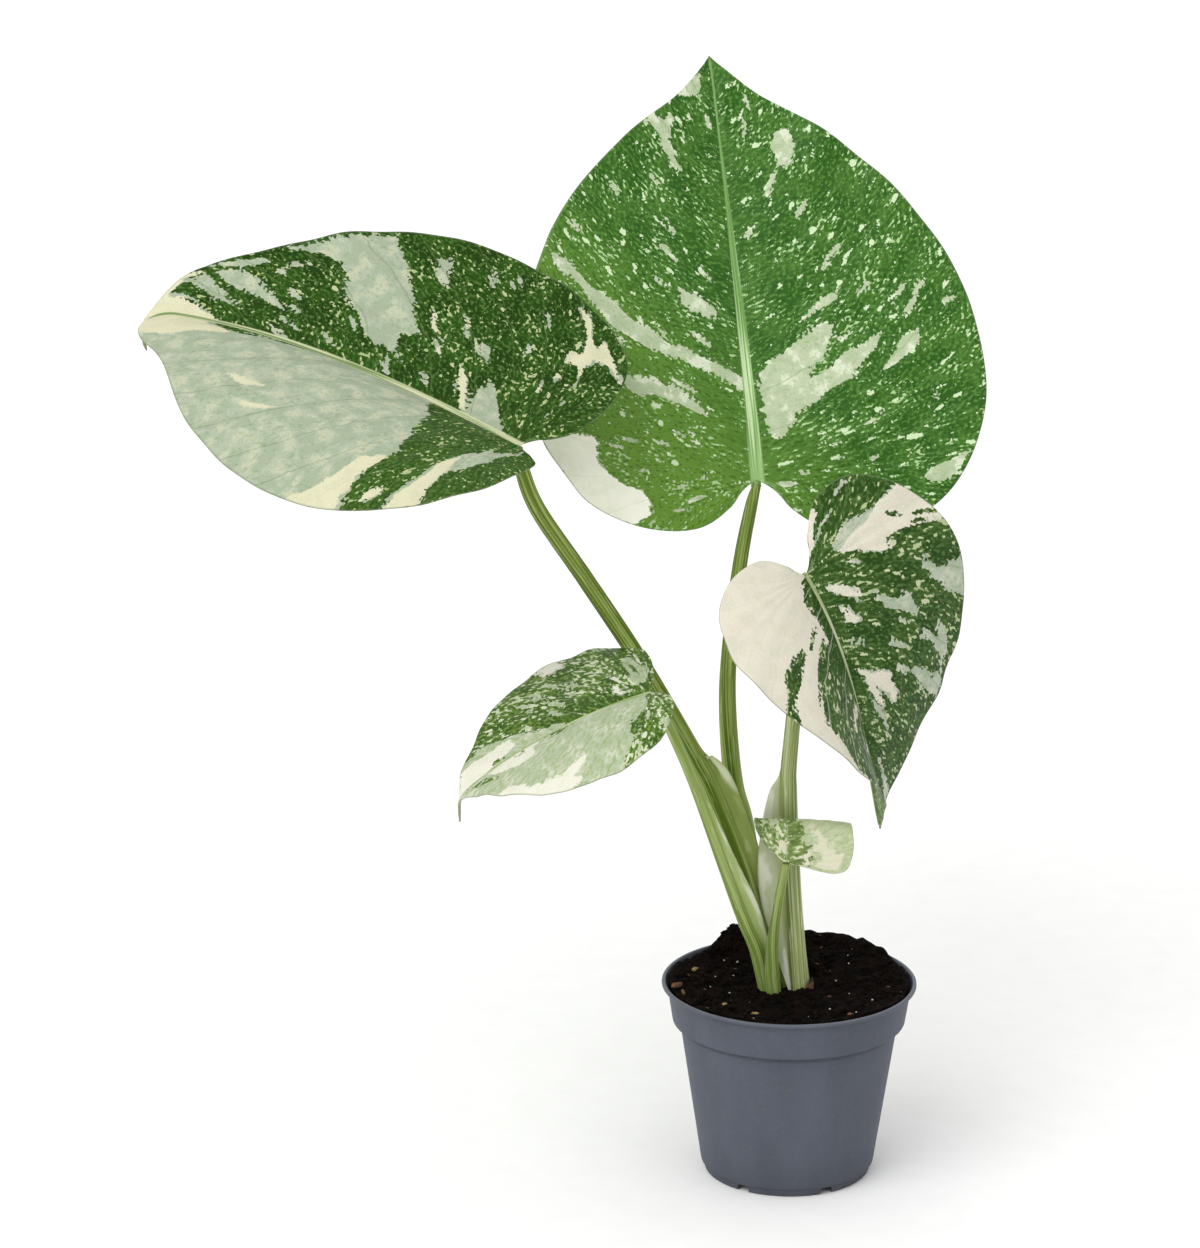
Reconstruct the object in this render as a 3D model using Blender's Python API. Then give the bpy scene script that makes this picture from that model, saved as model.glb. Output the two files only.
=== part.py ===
"""A young variegated monstera in a 12 cm nursery pot: pot, soil, five petioles, five blades
and a dry sheath at the crown. Metres, +Z up, origin at the centre of the pot's underside."""

import math

import bmesh
import bpy
import numpy as np
from mathutils import Vector

MM = 0.001
GAP = 0.3  # clearance between touching pieces, mm

# Pot, mm
POT_HEIGHT = 93.5
RIM_RADIUS = 60.0
COLLAR_TOP_RADIUS = 56.6
COLLAR_LOW_RADIUS = 55.2
BODY_TOP_RADIUS = 50.4
BODY_LOW_RADIUS = 40.9
FOOT_RADIUS = 39.0
FOOT_HEIGHT = 3.4
FOOT_WIDTH = 2.4
WALL = 1.2
FLOOR_TOP = FOOT_HEIGHT + 1.6
PAD_RADIUS = 9.0
COLLAR_LOW_Z = 74.9
BODY_TOP_Z = 66.8
LIP_LOW_Z = 90.0
POT_STEPS = 48
FOOT_GAPS = 6
FOOT_GAP_WIDTH = 6.0
FOOT_GAP_TURN = 26.0  # degrees from the front to the first gap
DRAIN_HOLES = 6
DRAIN_RADIUS = 4.0
DRAIN_CIRCLE = 24.0

# Soil, mm
SOIL_Z = 88.0
SOIL_RISE = 2.0
SOIL_FLAT_RADIUS = 18.0
SOIL_STEPS = 36
HEAP_HEIGHT = 10.0
HEAP_RADII = (18.0, 46.0)  # the heap climbs between these
HEAP_TURN = (-38, -12, 38, 72)  # degrees clockwise from straight back: starts, full from, full to, ends

# Blades
BLADE_THICKNESS = 0.8  # mm
BLADE_ROWS = 16
BLADE_COLUMNS = 4
FAN_SHARE = 0.42  # share of the margin whose veins all start at the petiole
HALF_WIDTH = 0.55  # of the blade's length

# Half of the heart-shaped outline from the petiole round a lobe to the tip, in blade lengths
HEART = (
    (0.0, 0.0), (0.04, -0.012), (0.075, -0.07), (0.17, -0.125), (0.32, -0.12), (0.46, -0.03),
    (0.545, 0.15), (0.53, 0.38), (0.42, 0.61), (0.25, 0.79), (0.11, 0.90), (0.03, 0.968), (0.0, 1.0),
)

# Each grown blade: petiole joint (mm), length (mm), compass heading, rise at base and tip, and how
# its halves fold up at the midrib and arch towards the margin (degrees; right half, left half).
BLADES = {
    "leaf_blade_left": dict(
        at=(-126.0, -20.0, 357.0), length=203, heading=153, rise=(20, -1.5), bow=-19, sweep=2.3,
        roll=-2.3, twist=20, fold=(21, 21.5), arch=(3, -57), width=(0.976, 1.055),
        lobe=(0.59, 0.95), tip=1.5, hook=35, drip=0.05, drop=55,
    ),
    "leaf_blade_back": dict(
        at=(-14.7, 75.5, 316.9), length=216, heading=99.3, rise=(61.3, 62.0), bow=16.3, sweep=3.2,
        roll=-5.4, twist=5, fold=(12.9, 12.6), arch=(-5.2, -6.4), width=(0.959, 0.962),
        lobe=(1.0, 0.94), tip=0.89, hook=8, drip=0.0, drop=0,
    ),
    "leaf_blade_right": dict(
        at=(4.5, -22.0, 297.0), length=124, heading=-19.8, rise=(-57, -81), bow=22.4, sweep=8.3,
        roll=-32.8, twist=46, fold=(20.4, 25.7), arch=(-29, -7.3), width=(1.02, 1.09),
        lobe=(1.15, 1.7), tip=0.96, hook=-4, drip=0.0, drop=0,
    ),
    "leaf_blade_small": dict(
        at=(-66.6, -62.0, 253.5), length=101, heading=182.8, rise=(-16, -41.4), bow=1, sweep=0.9,
        roll=2, twist=13.4, fold=(11.7, 11.4), arch=(-10.6, -39), width=(1.0, 1.01),
        lobe=(0.29, 0.72), tip=1.12, hook=30, drip=0.09, drop=18,
    ),
}
DRIP_WIDTH = 0.012  # of the blade's length, half the width of a drip tip

# The youngest blade stands up from its petiole and is folded back over a level line, mm
YOUNG_AT = (-2.4, -15.2, 154.6)
YOUNG_LENGTH = 58.0
YOUNG_FOLD_HEIGHT = 19.0
YOUNG_FOLD_RADIUS = 3.4
YOUNG_FOLD_CUTS = 6
YOUNG_EDGE_POINTS = 14
YOUNG_RIGHT = (
    (0, 0), (6, -1.5), (14, -3.5), (22, -4.5), (29, -1), (32, 8), (31.5, 18), (29, 30), (20, 44), (8, 54), (0, 58),
)
YOUNG_LEFT = ((0, 0), (5, 4), (10, 10), (14, 18), (16, 26), (15, 36), (9, 48), (0, 58))

# Petioles from the crown up: x, y, z, radius and width of the sheath's wing beyond it, mm
PETIOLE_SIDES = 10
PETIOLE_RINGS = 15
PETIOLES = {
    "petiole_left": dict(
        wing=(0.8, 0.1, 0.5),
        stations=(
            (-4.0, 6.6, 88.3, 4.0, 0), (-10.3, 6.2, 104, 4.0, 0), (-21, 3.5, 144, 4.2, 2.5), (-36.4, 1, 186.5, 4.1, 4.5),
            (-43, 0, 200.5, 4.0, 6.0), (-46.3, 0, 207, 4.0, 0), (-71, -4, 251.6, 4.0, 0), (-95.4, -10, 291.5, 3.9, 0),
            (-117, -16, 326, 3.7, 0), (-124.2, -19.4, 345.9, 3.3, 0), (-125.9, -20.1, 356.2, 2.0, 0),
        ),
    ),
    "petiole_back": dict(
        wing=(1, 0, 0),
        stations=(
            (4.6, 8.6, 88.3, 3.9, 0), (-1.5, 13, 99.8, 4.0, 0), (-15.4, 20, 129.6, 4.8, 0), (-21.7, 27, 162, 5.2, 0),
            (-26.1, 33, 181, 4.5, 0), (-28.7, 43.5, 212.4, 4.1, 0), (-27.8, 53, 239.6, 3.7, 0),
            (-22.7, 66, 278.5, 3.4, 0), (-17.5, 73, 304.7, 2.9, 0), (-14.8, 75.2, 314.4, 2.0, 0),
        ),
    ),
    "petiole_right": dict(
        wing=(-1, -0.15, 0),
        stations=(
            (5.6, -2.0, 88.3, 4.6, 1), (3.6, -0.5, 108, 4.2, 6), (1.8, 1.5, 130, 4.0, 11), (0.5, 2, 150, 4.0, 12),
            (-0.6, 2.2, 172, 3.9, 9), (-1.2, 1, 188, 3.8, 5), (-1.4, 0, 198, 3.7, 0), (0.4, -3, 224.5, 3.4, 0),
            (2.8, -9, 262, 3.1, 0), (4.4, -17.2, 287.3, 2.6, 0), (4.5, -20.7, 295.0, 1.8, 0),
        ),
    ),
    "petiole_small": dict(
        wing=(1, -0.2, 0.3),
        stations=(
            (-10.8, 0.2, 88.3, 3.6, 0), (-15.3, -2.4, 109, 3.5, 2), (-20.5, -5.5, 123, 3.4, 4), (-25.1, -8.6, 136, 3.2, 1),
            (-32.4, -16, 158.5, 2.9, 0), (-46.5, -34, 203.3, 2.6, 0), (-59, -51, 237, 2.4, 0),
            (-66.1, -61.5, 252.2, 1.8, 0),
        ),
    ),
    "petiole_young": dict(
        wing=(1, 0, 0),
        stations=(
            (-7.5, -6.5, 88.3, 3.6, 0), (-8.3, -7, 99, 3.4, 0), (-8.5, -8, 113, 2.9, 0), (-7, -10, 127, 2.2, 0),
            (-5.1, -12.5, 141.1, 2.1, 0), (-2.5, -15.1, 154.1, 1.8, 0),
        ),
    ),
}

# Dry papery sheath round the right side of the crown, mm
DRY_SHEATH_CENTRE = (5.6, -2.0)
DRY_SHEATH_INNER = 5.1
DRY_SHEATH_OUTER = 6.0
DRY_SHEATH_TOP = 96.0
DRY_SHEATH_TURN = (-80, 25)  # degrees about the petiole, from +X
DRY_SHEATH_STEPS = 8


def clear_scene():
    for obj in list(bpy.data.objects):
        bpy.data.objects.remove(obj, do_unlink=True)


def material(name, colour, roughness):
    """A plain Principled material; the colour is sRGB 0-255."""
    made = bpy.data.materials.new(name)
    made.use_nodes = True
    shader = made.node_tree.nodes["Principled BSDF"]
    linear = [((c / 255 + 0.055) / 1.055) ** 2.4 for c in colour]
    shader.inputs["Base Color"].default_value = (*linear, 1)
    shader.inputs["Roughness"].default_value = roughness
    shader.inputs["Metallic"].default_value = 0
    return made


def add_object(name, mesh_builder, paint):
    """Links one object whose mesh comes from a bmesh."""
    bmesh.ops.recalc_face_normals(mesh_builder, faces=mesh_builder.faces)
    mesh = bpy.data.meshes.new(name)
    mesh_builder.to_mesh(mesh)
    mesh_builder.free()
    mesh.shade_smooth()
    mesh.set_sharp_from_angle(angle=math.radians(35))
    mesh.materials.append(paint)
    made = bpy.data.objects.new(name, mesh)
    bpy.context.scene.collection.objects.link(made)
    return made


def hide_cutter(obj):
    obj.hide_render = True
    obj.display_type = "WIRE"


def through(points, count):
    """Points evenly spaced in parameter along a Catmull-Rom curve through the given ones."""
    known = np.array(points, float)
    known = np.vstack([2 * known[0] - known[1], known, 2 * known[-1] - known[-2]])
    spans = len(known) - 3
    found = []
    for place in np.linspace(0, spans, count):
        span = min(int(place), spans - 1)
        t = place - span
        a, b, c, d = known[span:span + 4]
        found.append(
            0.5 * (2 * b + (c - a) * t + (2 * a - 5 * b + 4 * c - d) * t**2 + (3 * b - a - 3 * c + d) * t**3)
        )
    return np.array(found)


def turned(profile, steps):
    """A closed solid of revolution about Z. The profile is a closed loop of (radius, z) in mm; points
    on the axis stay single."""
    builder = bmesh.new()
    rings = []
    for radius, z in profile:
        if radius == 0:
            rings.append([builder.verts.new((0, 0, z * MM))])
            continue
        ring = []
        for step in range(steps):
            angle = 2 * math.pi * step / steps
            ring.append(
                builder.verts.new((radius * math.cos(angle) * MM, radius * math.sin(angle) * MM, z * MM))
            )
        rings.append(ring)
    for low, high in zip(rings, rings[1:]):
        for step in range(steps):
            after = (step + 1) % steps
            corners = [low[step % len(low)], low[after % len(low)], high[after % len(high)], high[step % len(high)]]
            corners = list(dict.fromkeys(corners))
            if len(corners) > 2:
                builder.faces.new(corners)
    return builder


def pot_profile():
    """From the centre of the underside out, up the wall, over the rim and down inside to the floor."""
    chamfer_outer = [(BODY_TOP_RADIUS + 0.2, BODY_TOP_Z + 0.4), (53.6, 70.6), (55.0, 73.6)]
    return (
        [(0, 0), (PAD_RADIUS, 0), (PAD_RADIUS - 0.4, FOOT_HEIGHT)]
        + [(FOOT_RADIUS - FOOT_WIDTH, FOOT_HEIGHT), (FOOT_RADIUS - FOOT_WIDTH, 0), (FOOT_RADIUS, 0)]
        + [(FOOT_RADIUS + 0.5, FOOT_HEIGHT), (BODY_LOW_RADIUS - 0.8, FOOT_HEIGHT), (BODY_LOW_RADIUS, FOOT_HEIGHT + 1)]
        + [(BODY_TOP_RADIUS, BODY_TOP_Z)] + chamfer_outer
        + [(COLLAR_LOW_RADIUS, COLLAR_LOW_Z), (COLLAR_TOP_RADIUS, LIP_LOW_Z - 3), (RIM_RADIUS - 1.2, LIP_LOW_Z)]
        + [(RIM_RADIUS, LIP_LOW_Z + 1), (RIM_RADIUS - 0.2, POT_HEIGHT - 0.5), (RIM_RADIUS - 0.9, POT_HEIGHT)]
        + [(COLLAR_TOP_RADIUS + 0.8, POT_HEIGHT), (COLLAR_TOP_RADIUS - WALL, POT_HEIGHT - 2)]
        + [(COLLAR_LOW_RADIUS - WALL, COLLAR_LOW_Z), (BODY_TOP_RADIUS - WALL, BODY_TOP_Z)]
        + [(BODY_LOW_RADIUS - WALL, FLOOR_TOP), (0, FLOOR_TOP)]
    )


def pot_cutters():
    """One object of separate closed cutters: the drain holes and the gaps in the foot ring."""
    builder = bmesh.new()
    for hole in range(DRAIN_HOLES):
        angle = math.radians(360 * hole / DRAIN_HOLES)
        made = bmesh.ops.create_cone(
            builder, cap_ends=True, segments=16, radius1=DRAIN_RADIUS * MM, radius2=DRAIN_RADIUS * MM, depth=20 * MM
        )
        spot = Vector((math.cos(angle), math.sin(angle), 0)) * DRAIN_CIRCLE * MM + Vector((0, 0, 4 * MM))
        bmesh.ops.translate(builder, verts=made["verts"], vec=spot)
    for gap in range(FOOT_GAPS):
        angle = math.radians(-90 + FOOT_GAP_TURN + 360 * gap / FOOT_GAPS)
        made = bmesh.ops.create_cube(builder, size=1)
        depth = FOOT_WIDTH + 6
        bmesh.ops.scale(builder, verts=made["verts"], vec=(depth * MM, FOOT_GAP_WIDTH * MM, (FOOT_HEIGHT - 0.5) * 2 * MM))
        bmesh.ops.translate(builder, verts=made["verts"], vec=((FOOT_RADIUS - FOOT_WIDTH / 2) * MM, 0, 0))
        turn = np.array(((math.cos(angle), -math.sin(angle)), (math.sin(angle), math.cos(angle))))
        for vert in made["verts"]:
            vert.co.x, vert.co.y = turn @ np.array((vert.co.x, vert.co.y))
    return builder


def make_pot():
    paint = material("grey blue plastic", (95, 100, 110), 0.45)
    pot = add_object("pot", turned(pot_profile(), POT_STEPS), paint)
    cutter = add_object("pot_cutter", pot_cutters(), paint)
    hide_cutter(cutter)
    cut = pot.modifiers.new("drain holes and foot gaps", "BOOLEAN")
    cut.operation = "DIFFERENCE"
    cut.solver = "EXACT"
    cut.object = cutter


def ramp(value, start, end):
    """0 at the start and 1 at the end, eased at both."""
    share = min(1, max(0, (value - start) / (end - start)))
    return share * share * (3 - 2 * share)


def soil_top(x, y):
    """Height of the soil: level round the crown, heaped over the rim at the back."""
    radius = math.hypot(x, y)
    uneven = 0.5 + 0.5 * math.sin(x / 9 + 1) * math.cos(y / 11)
    turn = math.degrees(math.atan2(x, y))
    heap = ramp(turn, *HEAP_TURN[:2]) * (1 - ramp(turn, *HEAP_TURN[2:])) * ramp(radius, *HEAP_RADII)
    return SOIL_Z + SOIL_RISE * uneven * ramp(radius, SOIL_FLAT_RADIUS, 38) + HEAP_HEIGHT * heap


def make_soil():
    builder = bmesh.new()
    slack = WALL + GAP
    outside = [
        (BODY_LOW_RADIUS - slack, FLOOR_TOP + GAP), (BODY_TOP_RADIUS - slack, BODY_TOP_Z),
        (COLLAR_LOW_RADIUS - slack - 0.2, COLLAR_LOW_Z + 0.3),
    ]
    edge_radius = COLLAR_TOP_RADIUS - slack - 0.5
    rings = []
    for radius, z in outside:
        rings.append([(radius, z)] * SOIL_STEPS)
    for share in (1.0, 0.88, 0.72, 0.56, 0.44, 0.33):
        rings.append([(edge_radius * share, None)] * SOIL_STEPS)
    verts = []
    for ring in rings:
        made = []
        for step, (radius, z) in enumerate(ring):
            angle = 2 * math.pi * step / SOIL_STEPS
            x, y = radius * math.cos(angle), radius * math.sin(angle)
            made.append(builder.verts.new((x * MM, y * MM, (soil_top(x, y) if z is None else z) * MM)))
        verts.append(made)
    for low, high in zip(verts, verts[1:]):
        for step in range(SOIL_STEPS):
            after = (step + 1) % SOIL_STEPS
            builder.faces.new((low[step], low[after], high[after], high[step]))
    builder.faces.new(list(reversed(verts[0])))
    builder.faces.new(verts[-1])
    add_object("soil", builder, material("dark peat soil", (26, 20, 17), 0.95))


def blade_frame(blade, along):
    """Points of the midrib and its unit tangent, side and upper normal, at lengths in mm."""
    length = blade["length"]
    steps = np.linspace(-0.25 * length, (1 + blade["drip"]) * length, 160)

    def angles(at):
        share = at / length
        rise = blade["rise"][0] + (blade["rise"][1] - blade["rise"][0]) * share
        rise = rise + blade["bow"] * np.where(share > 0, share**2 - share, 0)
        rise = rise - blade["hook"] * np.clip((share - 0.9) / 0.1, 0, 1)
        if blade["drip"]:
            rise = rise - blade["drop"] * np.clip((share - 0.985) / 0.03, 0, 1)
        heading = blade["heading"] + blade["sweep"] * np.minimum(share, 1)
        roll = blade["roll"] + blade["twist"] * np.minimum(share, 1)
        return np.radians(rise), np.radians(heading), np.radians(roll)

    def tangents(rise, heading):
        return np.stack([np.cos(rise) * np.cos(heading), np.cos(rise) * np.sin(heading), np.sin(rise)], 1)

    rise, heading, roll = angles(steps)
    tangent = tangents(rise, heading)
    paths = np.vstack([np.zeros(3), np.cumsum((tangent[1:] + tangent[:-1]) / 2 * np.diff(steps)[:, None], 0)])
    start = np.array([np.interp(0, steps, paths[:, axis]) for axis in range(3)])
    paths = paths - start + np.array(blade["at"])
    points = np.stack([np.interp(along, steps, paths[:, axis]) for axis in range(3)], 1)
    rise, heading, roll = angles(along)
    tangent = tangents(rise, heading)
    level = np.stack([np.sin(heading), -np.cos(heading), 0 * heading], 1)
    upper = np.cross(level, tangent)
    cosine, sine = np.cos(roll)[:, None], np.sin(roll)[:, None]
    return points, tangent, level * cosine + upper * sine, upper * cosine - level * sine


def blade_surface(blade, flat):
    """Bends flat blade coordinates (across, along; mm) into place."""
    side = np.where(flat[:, 0] >= 0, 1, -1)
    away = np.abs(flat[:, 0])
    points, _, across, upper = blade_frame(blade, flat[:, 1])
    fold = np.radians(np.where(side > 0, blade["fold"][0], blade["fold"][1]))
    arch = np.radians(np.where(side > 0, blade["arch"][0], blade["arch"][1]))
    half_turn = 0.5 * arch * away / (HALF_WIDTH * blade["length"])
    shorten = np.sinc(half_turn / math.pi)
    out = away * shorten * np.cos(fold + half_turn)
    up = away * shorten * np.sin(fold + half_turn)
    return points + (side * out)[:, None] * across + up[:, None] * upper


def margin(outline, count):
    """The outline resampled evenly by length."""
    fine = through(outline, 300)
    lengths = np.concatenate([[0], np.cumsum(np.linalg.norm(np.diff(fine, axis=0), axis=1))])
    even = np.linspace(0, lengths[-1], count)
    return np.stack([np.interp(even, lengths, fine[:, axis]) for axis in range(2)], 1)


def half_outline(blade, half):
    """Control points of one half in mm: half 0 is right of the midrib, half 1 left."""
    points = np.array(HEART)
    points[-3:-1, 0] *= blade["tip"]
    points[:, 0] *= blade["width"][half]
    points[points[:, 1] < 0, 1] *= blade["lobe"][half]
    points[:, 0] *= 1 if half == 0 else -1
    if blade["drip"]:
        width = DRIP_WIDTH * (1 if half == 0 else -1)
        end = [(width, 0.995), (width * 0.8, 1 + blade["drip"] * 0.7), (0, 1 + blade["drip"])]
        points = np.vstack([points[:-1], end])
    return points * blade["length"]


def half_grid(outline, length):
    """Flat points of one half in rows along the curved side veins, from midrib to margin."""
    edge = margin(outline, BLADE_ROWS + 1)
    rows = []
    for row, (x, y) in enumerate(edge):
        share = max(0, (row / BLADE_ROWS - FAN_SHARE) / (1 - FAN_SHARE))
        root = np.array((0, length * share**1.7))
        bend = np.array((0.6 * x, root[1] + 0.27 * (y - root[1])))
        t = np.linspace(0, 1, BLADE_COLUMNS + 1)[:, None]
        rows.append((1 - t) ** 2 * root + 2 * t * (1 - t) * bend + t**2 * np.array((x, y)))
    return np.array(rows)


def make_blade(name, halves, blade_data, paint):
    """A thin closed blade: both halves share the midrib, and fans close at the petiole."""
    builder = bmesh.new()
    for half, grid in enumerate(halves):
        placed = blade_surface(blade_data, grid.reshape(-1, 2)).reshape(*grid.shape[:2], 3) * MM
        verts = [[builder.verts.new(point) for point in row] for row in placed]
        for low, high in zip(verts, verts[1:]):
            for column in range(BLADE_COLUMNS):
                corners = [low[column], low[column + 1], high[column + 1], high[column]]
                builder.faces.new(corners if half == 0 else list(reversed(corners)))
    bmesh.ops.remove_doubles(builder, verts=builder.verts, dist=0.02 * MM)
    thicken(add_object(name, builder, paint))


def thicken(blade):
    thick = blade.modifiers.new("thickness", "SOLIDIFY")
    thick.thickness = BLADE_THICKNESS * MM
    thick.offset = 0


def young_surface(flat):
    """Bends the youngest blade back over a level fold, with its margins cupped a little forwards."""
    x, height = flat[:, 0], flat[:, 1]
    past = height - YOUNG_FOLD_HEIGHT
    turn = np.clip(past / YOUNG_FOLD_RADIUS, 0, math.radians(172))
    beyond = np.maximum(0, past - YOUNG_FOLD_RADIUS * math.radians(172))
    back = YOUNG_FOLD_RADIUS * (1 - np.cos(turn)) + beyond * math.sin(math.radians(8))
    up = np.minimum(height, YOUNG_FOLD_HEIGHT) + YOUNG_FOLD_RADIUS * np.sin(turn)
    up = up - beyond * math.cos(math.radians(8)) - 0.03 * x
    cup = 0.004 * x**2
    return np.stack([x, back - cup, up], 1) + np.array(YOUNG_AT)


def make_young_blade(paint):
    """The flat outline cut into a grid whose level cuts are closest round the fold, then bent."""
    right = margin(YOUNG_RIGHT, YOUNG_EDGE_POINTS)
    left = margin(YOUNG_LEFT, YOUNG_EDGE_POINTS) * (-1, 1)
    builder = bmesh.new()
    loop = [builder.verts.new((x, y, 0)) for x, y in list(right) + list(left[-2:0:-1])]
    builder.faces.new(loop)
    fold_cuts = np.linspace(YOUNG_FOLD_HEIGHT, YOUNG_FOLD_HEIGHT + math.pi * YOUNG_FOLD_RADIUS, YOUNG_FOLD_CUTS)
    for height in list(fold_cuts) + [0.5, 9.5, 44]:
        cut_flat(builder, (0, height, 0), (0, 1, 0))
    for across in (-9, 0, 10, 21):
        cut_flat(builder, (across, 0, 0), (1, 0, 0))
    bmesh.ops.triangulate(builder, faces=builder.faces)
    flat = np.array([vert.co[:2] for vert in builder.verts])
    for vert, place in zip(builder.verts, young_surface(flat)):
        vert.co = Vector(place) * MM
    thicken(add_object("leaf_blade_young", builder, paint))


def cut_flat(builder, point, normal):
    parts = list(builder.verts) + list(builder.edges) + list(builder.faces)
    bmesh.ops.bisect_plane(builder, geom=parts, dist=0.01, plane_co=point, plane_no=normal)


def make_blades():
    green = material("variegated leaf", (74, 122, 52), 0.45)
    for name, blade in BLADES.items():
        halves = [half_grid(half_outline(blade, half), blade["length"]) for half in range(2)]
        make_blade(name, halves, blade, green)
    make_young_blade(green)


def make_petiole(name, petiole, paint):
    """A tapered stalk along its stations; one ridge of each ring runs out into the sheath's wing."""
    rings = through(petiole["stations"], PETIOLE_RINGS)
    builder = bmesh.new()
    made = []
    for place, (*centre, radius, wing) in enumerate(rings):
        before, after = rings[max(0, place - 1)], rings[min(len(rings) - 1, place + 1)]
        tangent = Vector((after - before)[:3]).normalized()
        if place in (0, len(rings) - 1):
            tangent = tangent if place else Vector((0, 0, 1))
        out = Vector(petiole["wing"])
        out = (out - out.dot(tangent) * tangent).normalized()
        side = tangent.cross(out)
        ring = []
        for corner in range(PETIOLE_SIDES):
            angle = 2 * math.pi * corner / PETIOLE_SIDES
            reach = radius + (max(0, wing) if corner == 0 else 0)
            point = Vector(centre) + (out * math.cos(angle) + side * math.sin(angle)) * reach
            ring.append(builder.verts.new(point * MM))
        made.append(ring)
    for low, high in zip(made, made[1:]):
        for corner in range(PETIOLE_SIDES):
            after = (corner + 1) % PETIOLE_SIDES
            builder.faces.new((low[corner], low[after], high[after], high[corner]))
    builder.faces.new(list(reversed(made[0])))
    builder.faces.new(made[-1])
    add_object(name, builder, paint)


def make_petioles():
    green = material("green petiole", (125, 150, 72), 0.4)
    for name, petiole in PETIOLES.items():
        make_petiole(name, petiole, green)


def make_dry_sheath():
    builder = bmesh.new()
    columns = []
    for step in range(DRY_SHEATH_STEPS + 1):
        share = step / DRY_SHEATH_STEPS
        angle = math.radians(DRY_SHEATH_TURN[0] + (DRY_SHEATH_TURN[1] - DRY_SHEATH_TURN[0]) * share)
        top = DRY_SHEATH_TOP - 5 * abs(2 * share - 1) ** 2
        corners = (
            (DRY_SHEATH_INNER, SOIL_Z + GAP), (DRY_SHEATH_OUTER, SOIL_Z + GAP),
            (DRY_SHEATH_OUTER, top), (DRY_SHEATH_INNER, top),
        )
        columns.append([
            builder.verts.new((
                (DRY_SHEATH_CENTRE[0] + radius * math.cos(angle)) * MM,
                (DRY_SHEATH_CENTRE[1] + radius * math.sin(angle)) * MM,
                z * MM,
            ))
            for radius, z in corners
        ])
    for one, other in zip(columns, columns[1:]):
        for corner in range(4):
            after = (corner + 1) % 4
            builder.faces.new((one[corner], one[after], other[after], other[corner]))
    builder.faces.new(list(reversed(columns[0])))
    builder.faces.new(columns[-1])
    add_object("dry_sheath", builder, material("dry brown sheath", (110, 70, 45), 0.8))


clear_scene()
make_pot()
make_soil()
make_petioles()
make_blades()
make_dry_sheath()
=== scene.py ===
import math
import random
from functools import partial

import bmesh
import bpy
import numpy as np
from mathutils import Matrix, Vector, noise


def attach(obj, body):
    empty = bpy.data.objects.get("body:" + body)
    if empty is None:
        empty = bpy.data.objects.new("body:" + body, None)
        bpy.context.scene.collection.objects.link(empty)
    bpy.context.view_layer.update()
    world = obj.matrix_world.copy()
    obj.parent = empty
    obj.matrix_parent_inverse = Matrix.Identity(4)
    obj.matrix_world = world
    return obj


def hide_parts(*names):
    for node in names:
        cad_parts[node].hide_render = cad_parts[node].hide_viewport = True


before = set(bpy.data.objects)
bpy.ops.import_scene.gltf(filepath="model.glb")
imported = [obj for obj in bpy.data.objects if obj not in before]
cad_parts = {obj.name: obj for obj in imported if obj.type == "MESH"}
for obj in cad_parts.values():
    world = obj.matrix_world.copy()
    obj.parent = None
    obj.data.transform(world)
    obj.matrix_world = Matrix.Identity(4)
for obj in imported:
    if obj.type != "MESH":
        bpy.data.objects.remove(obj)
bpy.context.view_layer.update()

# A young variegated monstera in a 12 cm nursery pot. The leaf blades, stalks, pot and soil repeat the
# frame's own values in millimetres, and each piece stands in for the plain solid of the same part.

MM = 0.001
SEED = 7

# Pot, mm
POT_HEIGHT = 93.5
RIM_RADIUS = 60.0
COLLAR_TOP_RADIUS = 57.4
COLLAR_LOW_RADIUS = 54.8
BODY_TOP_RADIUS = 51.4
BODY_LOW_RADIUS = 40.9
FOOT_RADIUS = 39.0
FOOT_HEIGHT = 3.4
FOOT_WIDTH = 2.4
WALL = 1.2
FLOOR_TOP = FOOT_HEIGHT + 1.6
PAD_RADIUS = 9.0
COLLAR_LOW_Z = 74.8
BODY_TOP_Z = 74.3
LIP_LOW_Z = 91.7
POT_STEPS = 144
FOOT_GAPS = 6
FOOT_GAP_WIDTH = 6.0
FOOT_GAP_TURN = 26.0  # degrees from the front to the first gap
DRAIN_HOLES = 6
DRAIN_RADIUS = 4.0
DRAIN_CIRCLE = 24.0

# Soil, mm
SOIL_Z = 88.0
SOIL_RISE = 2.0
SOIL_FLAT_RADIUS = 18.0
SOIL_EDGE_RADIUS = 56.5
SOIL_EDGE_RISE = 4.0  # banked up against the wall
SOIL_STEPS = 220
SOIL_RINGS = 40
HEAP_HEIGHT = 4.5
HEAP_RADII = (18.0, 46.0)  # the heap climbs between these
HEAP_TURN = (-38, -12, 38, 72)  # degrees clockwise from straight back: starts, full from, full to, ends
# Clods of peat on the soil: x, y, spread and height
CLODS = (
    (-25.5, 45, 5.4, 8), (-21, 41, 5, 4), (2, -17, 7, 4), (13, -14, 6, 2.5), (-16, -20, 8, 2), (12, 22, 6, 3),
    (-34, 22, 7, 2), (34, 10, 9, 2), (26, -34, 8, 1.5), (-30, -30, 9, 1.6), (44, 28, 5, 2), (-44, 6, 5, 1.5),
)

# Crumbs of peat on the soil, mm
CRUMBS = 1500
CRUMB_RADII = (8, 54.6)  # they lie between these
CRUMB_LEAST = 0.35
CRUMB_LIMIT = 2.2
CRUMB_RARITY = 2.2  # how fast they thin out with size, per mm
CLOD_CRUMBS = 8  # how many more lie on a clod
TALL_CLOD = 5
TALL_CLOD_CRUMBS = 26
CLOD_CRUMB_REACH = 54.5

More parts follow.
